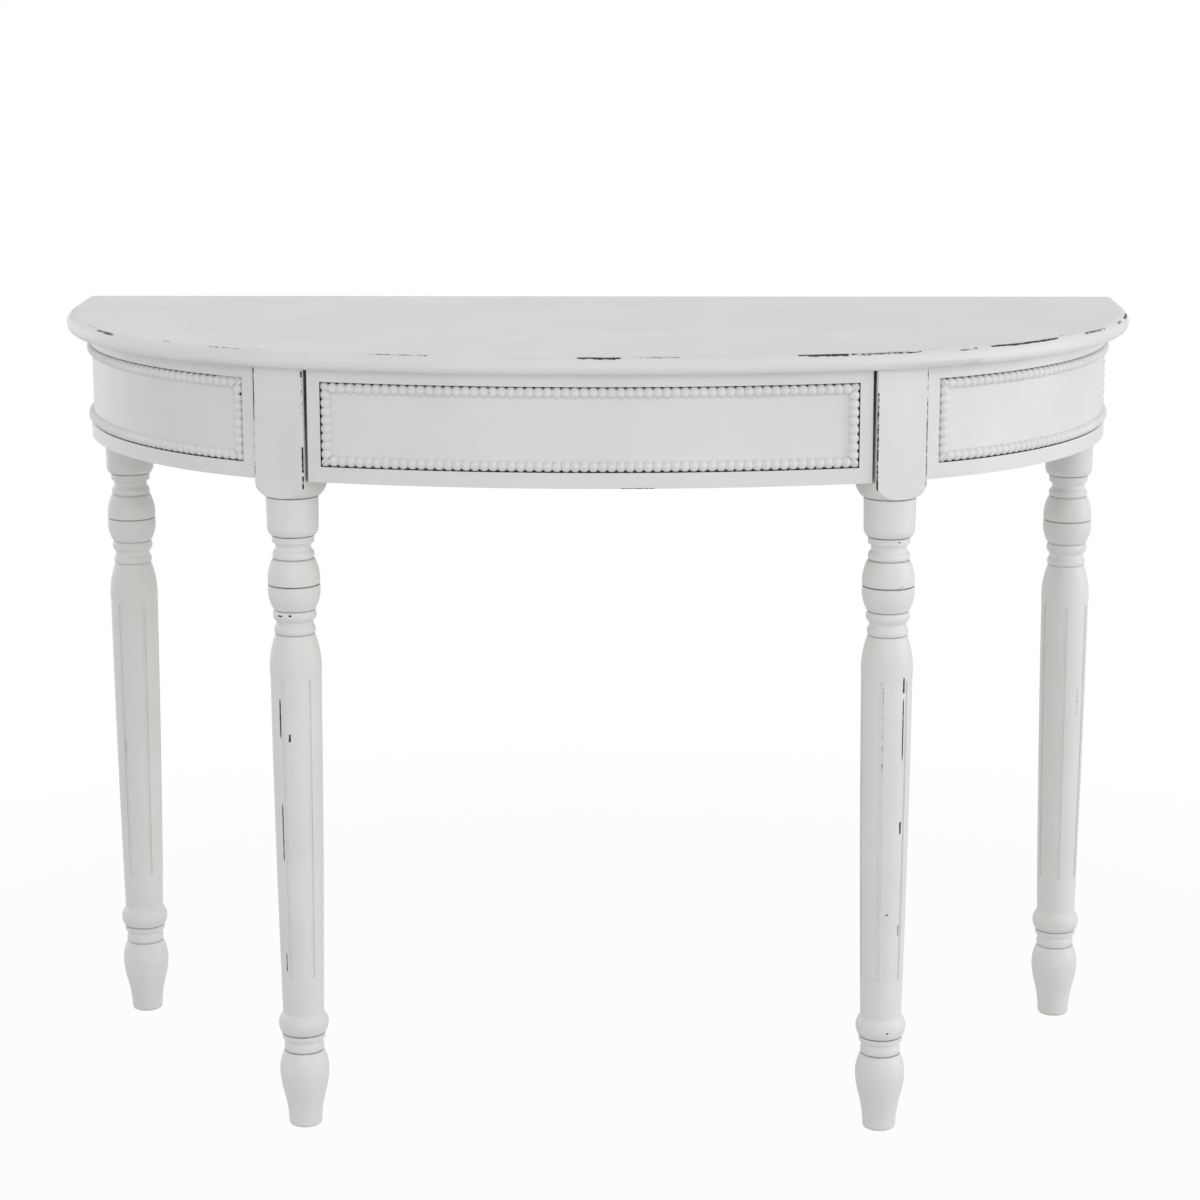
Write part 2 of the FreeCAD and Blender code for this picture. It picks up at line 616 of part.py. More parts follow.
def turned_leg(name, leg_x, leg_y, turn):
    """One leg: turned below, square above, fluted down the shaft."""
    body = new_body(name)
    profile = new_sketch(body, "turning", "XZ_Plane")
    corners = [(None, None)]
    for mark, height, radius, swell in LOWER_MARKS + UPPER_MARKS:
        corner = (f"Sizes.{mark}_radius", f"Turning.{mark}_z" if height or mark != "toe" else None)
        if swell:
            corner += (f"Turning.{mark}_arc", -1 if swell > 0 else 1)
        corners.append(corner)
    corners.append((None, "Layout.block_bottom"))
    outline(profile, corners)
    turning = body.newObject("PartDesign::Revolution", f"{name}_turning")
    turning.Profile = profile
    turning.ReferenceAxis = (profile, ["V_Axis"])
    square = new_sketch(body, "square", "XY_Plane", "Layout.block_bottom")
    outline(square, [("-Layout.block_half", "-Layout.block_half"),
                     ("Layout.block_half", "-Layout.block_half"),
                     ("Layout.block_half", "Layout.block_half"),
                     ("-Layout.block_half", "Layout.block_half")])
    ease_arrises(body, pad(body, square, "Layout.block_length"))
    cut_pommel(body, name)
    cut_flutes(body, name, turn)
    body.Placement = FreeCAD.Placement(
        FreeCAD.Vector(leg_x, leg_y, 0), FreeCAD.Rotation(Z_AXIS, turn))
    keep(name, body, bores[name])


def ease_arrises(body, block):
    """Take the sharpness off the upright edges of the square block."""
    doc.recompute()
    arrises = []
    for number, edge in enumerate(block.Shape.Edges, start=1):
        reach = edge.BoundBox
        if abs(reach.ZLength - place("block_length")) < size("fit_gap") and reach.XLength < size("fit_gap"):
            arrises.append(f"Edge{number}")
    easing = body.newObject("PartDesign::Fillet", "arris_easing")
    easing.Base = (block, arrises)
    easing.setExpression("Radius", "Sizes.arris_easing")


def cut_pommel(body, name):
    """Round the lower corners of the square block, as the lathe leaves them."""
    shoulder = new_sketch(body, "pommel", "XZ_Plane")
    outline(shoulder, [("Sizes.drum_high_radius", "Layout.block_bottom", "Turning.pommel_arc", -1),
                       ("Layout.pommel_radius", "Layout.pommel_top"),
                       ("Layout.pommel_clear", "Layout.pommel_top"),
                       ("Layout.pommel_clear", "Layout.block_bottom")])
    doc.recompute()
    before = body.Shape.Volume
    groove = body.newObject("PartDesign::Groove", f"{name}_pommel")
    groove.Profile = shoulder
    groove.ReferenceAxis = (shoulder, ["V_Axis"])
    doc.recompute()
    if body.Shape.Volume >= before:
        raise RuntimeError(f"{name} pommel cuts nothing")


def cut_flutes(body, name, turn):
    """Flutes round the shaft, their floor following its taper."""
    flute = new_sketch(body, "flute", "XZ_Plane")
    flute_turn = size(f"{name.replace('_leg', '')}_flute_turn") - turn
    flute.AttachmentOffset = FreeCAD.Placement(
        FreeCAD.Vector(), FreeCAD.Rotation(Y_AXIS, flute_turn))
    outline(flute, [("Turning.flute_clear", "Turning.flute_low_z"),
                    ("Turning.flute_low_floor", "Turning.flute_low_floor_z", "Turning.shaft_low_arc", -1),
                    ("Turning.flute_high_floor", "Turning.flute_high_floor_z"),
                    ("Turning.flute_clear", "Turning.flute_high_z")])
    first = pocket(body, flute, "Sizes.flute_width", symmetric=True)
    pattern = body.newObject("PartDesign::PolarPattern", f"{name}_flutes")
    pattern.Originals = [first]
    axis = next(feature for feature in body.Origin.OriginFeatures if feature.Role == "Z_Axis")
    pattern.Axis = (axis, [""])
    pattern.Angle = 360
    pattern.setExpression("Occurrences", "Sizes.flute_count")
    body.Tip = pattern


# Top, aprons and rails

def round_rim(body, board, height, radius):
    """Round the level edges of the top at a height, all but the one along the back."""
    doc.recompute()
    rim = []
    for number, edge in enumerate(board.Shape.Edges, start=1):
        middle = edge.valueAt((edge.FirstParameter + edge.LastParameter) / 2)
        level = edge.BoundBox.ZLength < size("fit_gap") and abs(middle.z - height) < size("fit_gap")
        if level and middle.y < place("back_edge_y") - size("fit_gap"):
            rim.append(f"Edge{number}")
    rounding = body.newObject("PartDesign::Fillet", radius.split(".")[1])
    rounding.Base = (board, rim)
    rounding.setExpression("Radius", radius)
    return rounding


def table_top():
    """Bowed top with a soft rounded edge all round the curve and a square back edge."""
    body = new_body("top")
    plan = new_sketch(body, "plan", "XY_Plane", "Layout.top_underside")
    outline(plan, [("-Layout.top_half_width", "Layout.back_edge_y"),
                   ("-Layout.top_half_width", "Layout.side_centre_y", "Layout.top_side_radius", -1),
                   ("-Layout.top_joint_x", "Layout.top_joint_y", "Layout.top_front_radius", -1),
                   ("Layout.top_joint_x", "Layout.top_joint_y", "Layout.top_side_radius", -1),
                   ("Layout.top_half_width", "Layout.side_centre_y"),
                   ("Layout.top_half_width", "Layout.back_edge_y")])
    board = pad(body, plan, "Sizes.top_thickness")
    board = round_rim(body, board, size("table_height"), "Layout.upper_edge_radius")
    round_rim(body, board, place("top_underside"), "Layout.lower_edge_radius")
    keep("top", body, bores["top"])


def side_apron(side, sign):
    """Bowed apron from the front leg round past the back leg, which is housed over its inside,
    with a sunk field for its frame."""
    name = f"side_apron_{side}"
    mirror = sign < 0
    body = new_body(name)
    plan = new_sketch(body, "plan", "XY_Plane", "Layout.apron_bottom")
    outline(plan, [("Layout.apron_outer_x", "Layout.apron_outer_y", "Layout.side_radius", -1),
                   ("Layout.half_width", "Layout.side_centre_y"),
                   ("Layout.half_width", "Layout.rail_back_y"),
                   ("Layout.apron_inner_x", "Layout.rail_back_y"),
                   ("Layout.apron_inner_x", "Layout.side_centre_y", "Layout.inner_radius", 1),
                   ("Layout.apron_end_x", "Layout.apron_end_y")], mirror)
    pad(body, plan, "Sizes.apron_height")
    field = new_sketch(body, "field", "XY_Plane", "Layout.field_bottom")
    outline(field, [("Layout.side_field_low_x", "Layout.side_field_low_y"),
                    ("Layout.side_clear_low_x", "Layout.side_clear_low_y", "Layout.side_clear_radius", -1),
                    ("Layout.side_clear_high_x", "Layout.side_clear_high_y"),
                    ("Layout.side_field_high_x", "Layout.side_field_high_y",
                     "Layout.side_field_radius", 1)], mirror)
    pocket(body, field, "Layout.field_height")
    note_bore(f"back_leg_{side}", body)
    keep(name, body, bores[name])


def front_rail(name, bottom):
    """Rail between the front blocks, its ends cut to their turned sides."""
    body = new_body(name)
    plan = new_sketch(body, "plan", "XY_Plane", bottom)
    outline(plan, [("-Layout.front_rail_x", "Layout.front_rail_y"),
                   ("Layout.front_rail_x", "Layout.front_rail_y"),
                   ("Layout.front_rail_back_x", "Layout.front_rail_back_y"),
                   ("-Layout.front_rail_back_x", "Layout.front_rail_back_y")])
    pad(body, plan, "Sizes.front_rail_height")
    keep(name, body, bores[name])


def back_rail():
    """Straight rail along the wall side, behind the back legs and between the aprons' ends."""
    board = box("back_rail_board", ("-Layout.apron_inner_x", "Layout.rail_front_y", "Layout.apron_bottom"),
                ("2 * Layout.apron_inner_x", "Sizes.rail_thickness", "Sizes.apron_height"))
    keep("back_rail", board, bores["back_rail"])


def runner(side, sign):
    """Ledge that the drawer side slides on, with a guide beside it, as one L section."""
    name = f"runner_{side}"
    body = new_body(name)
    section = new_sketch(body, "section", "XZ_Plane", "-Layout.rail_front_y")
    outline(section, [("Layout.drawer_inner_x", "Layout.ledge_bottom"),
                      ("Layout.runner_outer_x", "Layout.ledge_bottom"),
                      ("Layout.runner_outer_x", "Layout.guide_top"),
                      ("Layout.guide_x", "Layout.guide_top"),
                      ("Layout.guide_x", "Layout.lower_rail_top"),
                      ("Layout.drawer_inner_x", "Layout.lower_rail_top")], sign < 0)
    pad(body, section, "Layout.runner_length")
    keep(name, body, bores[name])


def kicker(side, sign):
    """Strip over the drawer side that stops the drawer tipping and takes screws into the top."""
    name = f"kicker_{side}"
    low_x = "Layout.drawer_inner_x" if sign > 0 else "-Layout.runner_outer_x"
    strip = box(f"{name}_strip", (low_x, "Layout.front_rail_back_y", "Layout.kicker_bottom"),
                ("Layout.runner_outer_x - Layout.drawer_inner_x", "Layout.runner_length",
                 "Sizes.kicker_height"))
    keep(name, strip, bores[name])


def top_blocks():
    """Glue blocks that tie the top to the back rail and to the side aprons."""
    blocks = []
    for side, sign in SIDES:
        on_rail, on_apron = top_block_centres(sign)
        turns = (0, sign * size("side_block_turn"))
        for index, (centre, turn) in enumerate(zip((on_rail, on_apron), turns)):
            name = f"top_block_{side}_{index}"
            block = doc.addObject("Part::Box", name)
            block.setExpression("Length", "Sizes.top_block_length")
            block.setExpression("Width", "Sizes.top_block_depth")
            block.setExpression("Height", "Sizes.kicker_height")
            rotation = FreeCAD.Rotation(Z_AXIS, turn)
            corner = FreeCAD.Vector(-size("top_block_length") / 2, -size("top_block_depth") / 2, 0)
            block.Placement = FreeCAD.Placement(
                centre + Z_AXIS * place("kicker_bottom") + rotation.multVec(corner), rotation)
            blocks.append(hollowed(block, name, sign) if turn else block)
    keep("top_blocks", group("top_blocks_all", blocks), bores["top_blocks"])


def hollowed(block, name, sign):
    """Block with its outer face shaped to the inside of the side apron."""
    inside = doc.addObject("Part::Cylinder", f"{name}_inside")
    inside.setExpression("Radius", "Layout.inner_radius")
    inside.setExpression("Height", "Sizes.table_height")
    inside.Placement.Base = FreeCAD.Vector(sign * place("side_centre_x"), place("side_centre_y"), 0)
    shaped = doc.addObject("Part::Common", f"{name}_shaped")
    shaped.Base = block
    shaped.Tool = inside
    return shaped


# Drawer

def drawer_front():
    """Bowed drawer front between the blocks, with a sunk field and a groove for the bottom."""
    body = new_body("drawer_front")
    plan = new_sketch(body, "plan", "XY_Plane", "Layout.apron_bottom")
    outline(plan, [("-Layout.drawer_face_x", "Layout.drawer_face_y", "Sizes.front_radius", -1),
                   ("Layout.drawer_face_x", "Layout.drawer_face_y"),
                   ("Layout.drawer_rear_x", "Layout.drawer_rear_y", "Layout.drawer_back_radius", 1),
                   ("-Layout.drawer_rear_x", "Layout.drawer_rear_y")])
    pad(body, plan, "Layout.drawer_front_height")
    field = new_sketch(body, "field", "XY_Plane", "Layout.field_bottom")
    outline(field, [("-Layout.drawer_clear_x", "Layout.drawer_clear_y", "Layout.front_clear_radius", -1),
                    ("Layout.drawer_clear_x", "Layout.drawer_clear_y"),
                    ("Layout.drawer_field_x", "Layout.drawer_field_y", "Layout.front_field_radius", 1),
                    ("-Layout.drawer_field_x", "Layout.drawer_field_y")])
    pocket(body, field, "Layout.field_height")
    groove = new_sketch(body, "groove", "XY_Plane", "Layout.drawer_groove_z")
    outline(groove, [("-Layout.drawer_groove_x", "Layout.groove_front_y",
                      "Layout.drawer_groove_radius", -1),
                     ("Layout.drawer_groove_x", "Layout.groove_front_y"),
                     ("Layout.drawer_groove_x", "Layout.groove_clear_y", "Layout.drawer_clear_radius", 1),
                     ("-Layout.drawer_groove_x", "Layout.groove_clear_y")])
    pocket(body, groove, "Layout.drawer_groove_height")
    keep("drawer_front", body, bores["drawer_front"])


def drawer_side(side, sign):
    """Drawer side, coped to the back of the bowed front and grooved for the bottom."""
    name = f"drawer_{side}_side"
    mirror = sign < 0
    body = new_body(name)
    plan = new_sketch(body, "plan", "XY_Plane", "Layout.drawer_floor")
    outline(plan, [("Layout.drawer_inner_x", "Layout.cope_inner_y", "Layout.drawer_back_radius", -1),
                   ("Layout.drawer_half_width", "Layout.cope_outer_y"),
                   ("Layout.drawer_half_width", "Layout.drawer_back_y"),
                   ("Layout.drawer_inner_x", "Layout.drawer_back_y")], mirror)
    pad(body, plan, "Layout.drawer_height")
    groove = new_sketch(body, "groove", "XY_Plane", "Layout.drawer_groove_z")
    outline(groove, [("Layout.drawer_open_x", "Layout.groove_front_y"),
                     ("Layout.drawer_groove_x", "Layout.groove_front_y"),
                     ("Layout.drawer_groove_x", "Layout.back_edge_y"),
                     ("Layout.drawer_open_x", "Layout.back_edge_y")], mirror)
    pocket(body, groove, "Layout.drawer_groove_height")
    keep(name, body, bores[name])


def drawer_bottom():
    """Plywood bottom in the grooves of the front and the sides, running out under the back."""
    body = new_body("drawer_bottom")
    plan = new_sketch(body, "plan", "XY_Plane", "Layout.drawer_bottom_z")
    outline(plan, [("-Layout.drawer_tongue_x", "Layout.tongue_y", "Layout.drawer_tongue_radius", -1),
                   ("Layout.drawer_tongue_x", "Layout.tongue_y"),
                   ("Layout.drawer_tongue_x", "Layout.drawer_back_y"),
                   ("-Layout.drawer_tongue_x", "Layout.drawer_back_y")])
    pad(body, plan, "Sizes.drawer_bottom_thickness")
    keep("drawer_bottom", body)


def drawer_back():
    """Drawer back between the sides, standing on the bottom."""
    board = box("drawer_back_board", ("-Layout.drawer_inner_x", "Layout.drawer_back_front_y",
                                      "Layout.drawer_back_z"),
                ("2 * Layout.drawer_inner_x", "Sizes.drawer_wall", "Layout.drawer_back_height"))
    keep("drawer_back", board, bores["drawer_back"])


# Beaded frames: each strip is one turned row of beads, split down the middle and glued on

SECTION_TURNS = (0, 45, 90, 135, 180)


def bead_section(base, outward, across, share):
    """Half-round outline of a strip at one place, full size at a bead and less at a waist."""
    half = size("bead_width") / 2 * share
    height = size("bead_height") * share
    corners = []
    for turn in SECTION_TURNS:
        angle = math.radians(turn)
        corners.append(base + across * (half * math.cos(angle)) + outward * (height * math.sin(angle)))
    return Part.makePolygon(corners + corners[:1])


def bead_strip(name, length, frame_at):
    """Row of beads along a run: frame_at gives place, outward and across at a share of it."""
    count = round(length / size("bead_pitch"))
    sections = []
    for step in range(2 * count + 1):
        share = 1 if step % 2 else size("bead_waist")
        base, outward, across = frame_at(step / (2 * count))
        sections.append(bead_section(base, outward, across, share))
    strip = doc.addObject("Part::Feature", name)
    strip.Shape = Part.makeLoft(sections, True, True)
    keep(name, strip)


def on_arc(centre, radius, turn, height):
    """Place and outward direction on an upright cylinder, turn counted from the front."""
    angle = math.radians(turn)
    outward = FreeCAD.Vector(math.sin(angle), -math.cos(angle), 0)
    return centre + outward * radius + Z_AXIS * height, outward


def beaded_frame(prefix, centre, radius, start, end):
    """Four strips inside a sunk field that runs between two turns on a cylinder."""
    margin = size("bead_width") / 2 + size("fit_gap")
    base_radius = radius + size("glue_line")
    edge_turn = math.degrees(margin / radius)
    low, high = place("field_bottom") + margin, place("field_top") - margin
    rim = math.degrees(size("fit_gap") / radius)

    def along_rail(height):
        def frame_at(share):
            turn = start + rim + (end - start - 2 * rim) * share
            spot, outward = on_arc(centre, base_radius, turn, height)
            return spot, outward, Z_AXIS
        return frame_at

    def along_stile(turn):
        def frame_at(share):
            height = low + margin + (high - low - 2 * margin) * share
            spot, outward = on_arc(centre, base_radius, turn, height)
            return spot, outward, outward.cross(Z_AXIS)
        return frame_at

    rail_length = math.radians(end - start) * radius
    stile_length = high - low - 2 * margin
    bead_strip(f"{prefix}_beads_bottom", rail_length, along_rail(low))
    bead_strip(f"{prefix}_beads_top", rail_length, along_rail(high))
    bead_strip(f"{prefix}_beads_left", stile_length, along_stile(start + edge_turn))
    bead_strip(f"{prefix}_beads_right", stile_length, along_stile(end - edge_turn))


# Assembly

lay_out_fastenings()
table_top()
for side, sign in SIDES:
    side_apron(side, sign)
    turned_leg(f"front_leg_{side}", sign * place("front_leg_x"), place("front_leg_y"),
               sign * size("front_leg_turn"))
    turned_leg(f"back_leg_{side}", sign * place("back_leg_x"), place("back_leg_y"), 0)
    runner(side, sign)
    kicker(side, sign)
    drawer_side(side, sign)
back_rail()
front_rail("front_top_rail", "Layout.top_rail_bottom")
front_rail("front_lower_rail", "Layout.lower_rail_bottom")
top_blocks()
drawer_front()
drawer_back()
drawer_bottom()
front_centre = FreeCAD.Vector(0, place("front_centre_y"), 0)
beaded_frame("drawer", front_centre, place("front_field_radius"),
             -place("drawer_field_turn"), place("drawer_field_turn"))
for side, sign in SIDES:
    side_centre = FreeCAD.Vector(sign * place("side_centre_x"), place("side_centre_y"), 0)
    turns = sorted((sign * place("side_field_start"), sign * size("side_field_end")))
    beaded_frame(f"{side}_apron", side_centre, place("side_field_radius"), *turns)
for set_name, members in fastenings.items():
    keep(set_name, group(set_name, members))

doc.recompute()
for item in doc.Objects:
    if "Invalid" in item.State or "Error" in item.State:
        raise RuntimeError(f"{item.Name} failed: {item.State}")
for name, piece in nodes.items():
    if piece.Shape.isNull() or not piece.Shape.isValid():
        raise RuntimeError(f"{name} has no valid shape")

os.makedirs("parts", exist_ok=True)
for name, piece in nodes.items():
    piece.Shape.exportStep(f"parts/{name}.step")
    print(name, len(piece.Shape.Solids), round(piece.Shape.Volume))
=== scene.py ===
# %% [markdown]
# A demilune console table in worn white paint
#
# A demilune table is a half-moon console: it stands flat against a wall and bows out into the room.
# The frame that is loaded here is the joiner's model of it, with every board, turned leg, rail, dowel
# and screw at its real size and place. This lesson dresses that frame: fine bead mouldings, white paint
# that is rubbed through to a dark ground, bare wood inside, and soft studio light.

# %% Load the frame
import math
import bpy
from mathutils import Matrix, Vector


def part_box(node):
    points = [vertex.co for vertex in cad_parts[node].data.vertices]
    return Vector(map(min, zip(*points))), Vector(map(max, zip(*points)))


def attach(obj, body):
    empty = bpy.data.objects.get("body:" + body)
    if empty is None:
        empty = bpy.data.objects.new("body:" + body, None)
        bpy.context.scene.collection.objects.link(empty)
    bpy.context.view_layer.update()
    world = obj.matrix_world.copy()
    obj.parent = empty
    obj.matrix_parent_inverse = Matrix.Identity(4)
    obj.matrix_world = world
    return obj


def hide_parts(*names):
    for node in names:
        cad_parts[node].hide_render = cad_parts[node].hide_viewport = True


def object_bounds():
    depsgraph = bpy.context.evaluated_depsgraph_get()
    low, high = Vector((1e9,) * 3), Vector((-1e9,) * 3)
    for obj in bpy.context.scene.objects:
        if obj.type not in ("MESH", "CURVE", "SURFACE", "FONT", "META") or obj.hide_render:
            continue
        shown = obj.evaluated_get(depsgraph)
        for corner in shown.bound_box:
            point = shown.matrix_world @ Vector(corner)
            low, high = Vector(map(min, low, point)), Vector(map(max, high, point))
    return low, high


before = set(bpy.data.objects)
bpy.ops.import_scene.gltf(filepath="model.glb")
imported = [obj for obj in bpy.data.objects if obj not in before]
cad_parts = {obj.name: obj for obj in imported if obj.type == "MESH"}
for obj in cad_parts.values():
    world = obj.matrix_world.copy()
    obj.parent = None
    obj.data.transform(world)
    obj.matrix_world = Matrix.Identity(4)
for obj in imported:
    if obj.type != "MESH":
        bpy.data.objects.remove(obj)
cad_low, cad_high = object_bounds()
print("frame loaded:", len(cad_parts), "pieces,", [round(side, 3) for side in cad_high - cad_low], "m")

# %% [markdown]
# Where things are
#
# The front of the table follows one wide arc and two tighter ones that meet it at the front legs, so
# most places on it are easiest to give as a turn about one of three centres. A turn of 0 faces the room,
# and a positive turn goes to the right. The top has arcs of its own, because it stands further over the
# ends than over the front. The outermost points come from the frame itself, so the lesson stays in step
# with it. Sizes are in metres throughout, and turns are written in degrees.

# %% Centres of the three arcs
FRONT_RADIUS = 1.058
SIDE_RADIUS = 0.36538
TOP_FRONT_RADIUS = 1.073
TOP_SIDE_RADIUS = 0.378
apron_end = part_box("side_apron_right")[1].x
drawer_low, drawer_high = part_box("drawer_front")
front_centre = (0.0, drawer_low.y + FRONT_RADIUS)
side_step = FRONT_RADIUS - SIDE_RADIUS
side_reach = apron_end - SIDE_RADIUS
joint_turn = math.asin(side_reach / side_step)
side_centre_y = front_centre[1] - side_step * math.cos(joint_turn)
right_centre = (side_reach, side_centre_y)
left_centre = (-side_reach, side_centre_y)
top_reach = cad_high.x - TOP_SIDE_RADIUS
top_joint_turn = math.asin(top_reach / (TOP_FRONT_RADIUS - TOP_SIDE_RADIUS))
print("arcs meet at", round(math.degrees(joint_turn), 2), "degrees, side centre", right_centre)

# %% [markdown]
# The camera
#
# The picture was taken from a little over three metres away, from just above the height of the top and
# slightly right of the middle. A long lens keeps the legs nearly parallel. The place and the turns below
# were found by matching the feet, the rings of the legs and the bow of the top.

# %% Camera
CAMERA_PLACE = (0.0710, -3.1699, 1.1879)
CAMERA_TURNS = (77.759, 0.080, 1.164)
LENS_MM = 96.0
SENSOR_MM = 36.0
bpy.ops.object.select_all(action="DESELECT")
bpy.ops.object.camera_add(location=CAMERA_PLACE, rotation=[math.radians(turn) for turn in CAMERA_TURNS])
camera = bpy.context.object
camera.name = "front_view"
camera.data.lens = LENS_MM
camera.data.sensor_width = SENSOR_MM
bpy.context.scene.camera = camera
print("camera at", CAMERA_PLACE, "with a lens of", LENS_MM, "mm")

# %% [markdown]
# A short way to write shader maths
#
# Materials in Blender are graphs of nodes. Wear follows edges, grooves and places on the table, so the
# graphs hold a good deal of arithmetic, and linking every Math node by hand would hide what it means. The
# class below wraps one socket: adding or multiplying two of them adds a Math node, and one method adds
# any other node. A mask is such a socket that runs from 0, where nothing happens, to 1.


# %% Sockets with arithmetic
class Signal:
    """One output socket of a material's node tree, with arithmetic that adds Math nodes."""

    def __init__(self, tree, socket):
        self.tree = tree
        self.socket = socket

    def node(self, kind, settings=None, inputs=None, output=0):
        """Add a node, set it up, feed its inputs and hand back one of its outputs."""
        added = self.tree.nodes.new(kind)
        for name, value in (settings or {}).items():
            setattr(added, name, value)
        for key, value in (inputs or {}).items():
            if isinstance(value, Signal):
                self.tree.links.new(value.socket, added.inputs[key])
            else:
                added.inputs[key].default_value = value
        return Signal(self.tree, added.outputs[output])

    def math(self, operation, first, second=0.0):
        return self.node("ShaderNodeMath", {"operation": operation}, {0: first, 1: second})

    def __add__(self, other):
        return self.math("ADD", self, other)

    __radd__ = __add__

    def __sub__(self, other):
        return self.math("SUBTRACT", self, other)

    def __rsub__(self, other):
        return self.math("SUBTRACT", other, self)

    def __mul__(self, other):
        return self.math("MULTIPLY", self, other)

    __rmul__ = __mul__

    def __abs__(self):
        return self.math("ABSOLUTE", self)

    def most(self, other):
        return self.math("MAXIMUM", self, other)

    def least(self, other):
        return self.math("MINIMUM", self, other)

    def fraction(self):
        return self.math("FRACT", self)

    def over(self, level):
        return self.math("GREATER_THAN", self, level)

    def length_with(self, other):
        return self.math("SQRT", self * self + other * other)

    def turn_from(self, other):
        return self.math("ARCTAN2", self, other)

    def from_middle(self):
        """How far a value between 0 and 1 lies above or below the middle."""
        return self - 0.5

    def fade(self, zero_at, one_at):
        """A smooth step from 0 at one value to 1 at another."""
        ends = {"Value": self, "From Min": zero_at, "From Max": one_at}
        return self.node("ShaderNodeMapRange", {"interpolation_type": "SMOOTHSTEP"}, ends)

    def near(self, centre, half, soft):
        """1 within half of the centre, fading to 0 over the soft margin."""
        return abs(self - centre).fade(half + soft, half)

    def between(self, low, high, soft):
        return self.near((low + high) / 2, (high - low) / 2, soft)

    def axes(self):
        return [self.node("ShaderNodeSeparateXYZ", inputs={0: self}, output=axis) for axis in "XYZ"]

    def stretched(self, scale):
        return self.node("ShaderNodeMapping", inputs={"Vector": self, "Scale": scale})

    def noise(self, scale, detail=2.0, roughness=0.5):
        settings = {"Vector": self, "Scale": scale, "Detail": detail, "Roughness": roughness}
        return self.node("ShaderNodeTexNoise", inputs=settings)

    def mixed(self, first, second):
        """A colour that goes from the first to the second as this socket goes from 0 to 1."""
        return self.node("ShaderNodeMix", {"data_type": "RGBA"}, {0: self, 6: first, 7: second}, output=2)


def strongest(masks):
    """One mask that is the greatest of several at each place."""
    joined, *others = masks
    for mask in others:
        joined = joined.most(mask)
    return joined


def tone(red, green, blue):
    """A colour as a screen shows it, from 0 to 255, made linear for a socket."""
    linear = []
    for part in (red, green, blue):
        share = part / 255
        linear.append(share / 12.92 if share <= 0.04045 else ((share + 0.055) / 1.055) ** 2.4)
    return (*linear, 1.0)


def start_material(name):
    """A new material, its shader and the signal of places on the object."""
    material = bpy.data.materials.new(name)
    material.use_nodes = True
    tree = material.node_tree
    coordinates = tree.nodes.new("ShaderNodeTexCoord")
    return material, tree.nodes["Principled BSDF"], Signal(tree, coordinates.outputs["Object"])


def feed(shader, socket, signal):
    signal.tree.links.new(signal.socket, shader.inputs[socket])


print("shader words ready")

# %% [markdown]
# White paint over a dark ground
#
# The real table was stained nearly black, painted white and then rubbed back by hand, so dark lines
# show where sandpaper catches: arrises, shoulders and the lips of grooves. One function makes the paint,
# and each piece hands it a mask that says where the rubbing went through, and where painted shade darkens
# the corners round the sunk fields. The mask is broken up by fine noise, so that its edges look chipped
# and not airbrushed. A second mask greys the turned grooves and puts painted shade into the gap beside
# the drawer. Faint brush marks give the satin its life.

# %% The paint
PAINT_LIGHT = tone(232, 232, 231)
PAINT_SHADE = tone(228, 228, 226)
PAINT_THIN = tone(165, 161, 155)
GREY_AND_PAINTED_SHADE = tone(104, 101, 97)
GROUND_AND_SHADE_DARK = tone(38, 35, 33)
CLOUDS_PER_METRE = 11.0
CLOUD_LEVELS = (0.35, 0.65)
CHIPS_PER_METRE = 420.0
CHIP_SWING = 0.7
PATCHES_PER_METRE = 150.0
PATCH_SWING = 0.5
THIN_LEVELS = (0.36, 0.56)
THIN_SHARE = 0.7
BARE_AND_SHADE_LEVELS = (0.5, 0.64)
GREY_LEAST = 0.6
GREY_SWING = 0.5
PAINT_ROUGHNESS = 0.44
STROKE_ROUGHNESS = 0.14
DARK_ROUGHNESS = 0.2
PAINT_SPECULAR = 0.4
STROKE_SCALE = 6.0
STROKE_SHARE = 0.35
RELIEF_STRENGTH = 0.22
RELIEF_DEPTH = 0.0004
BRUSHED_ALONG = (7.0, 7.0, 150.0)
BRUSHED_DOWN = (90.0, 90.0, 12.0)


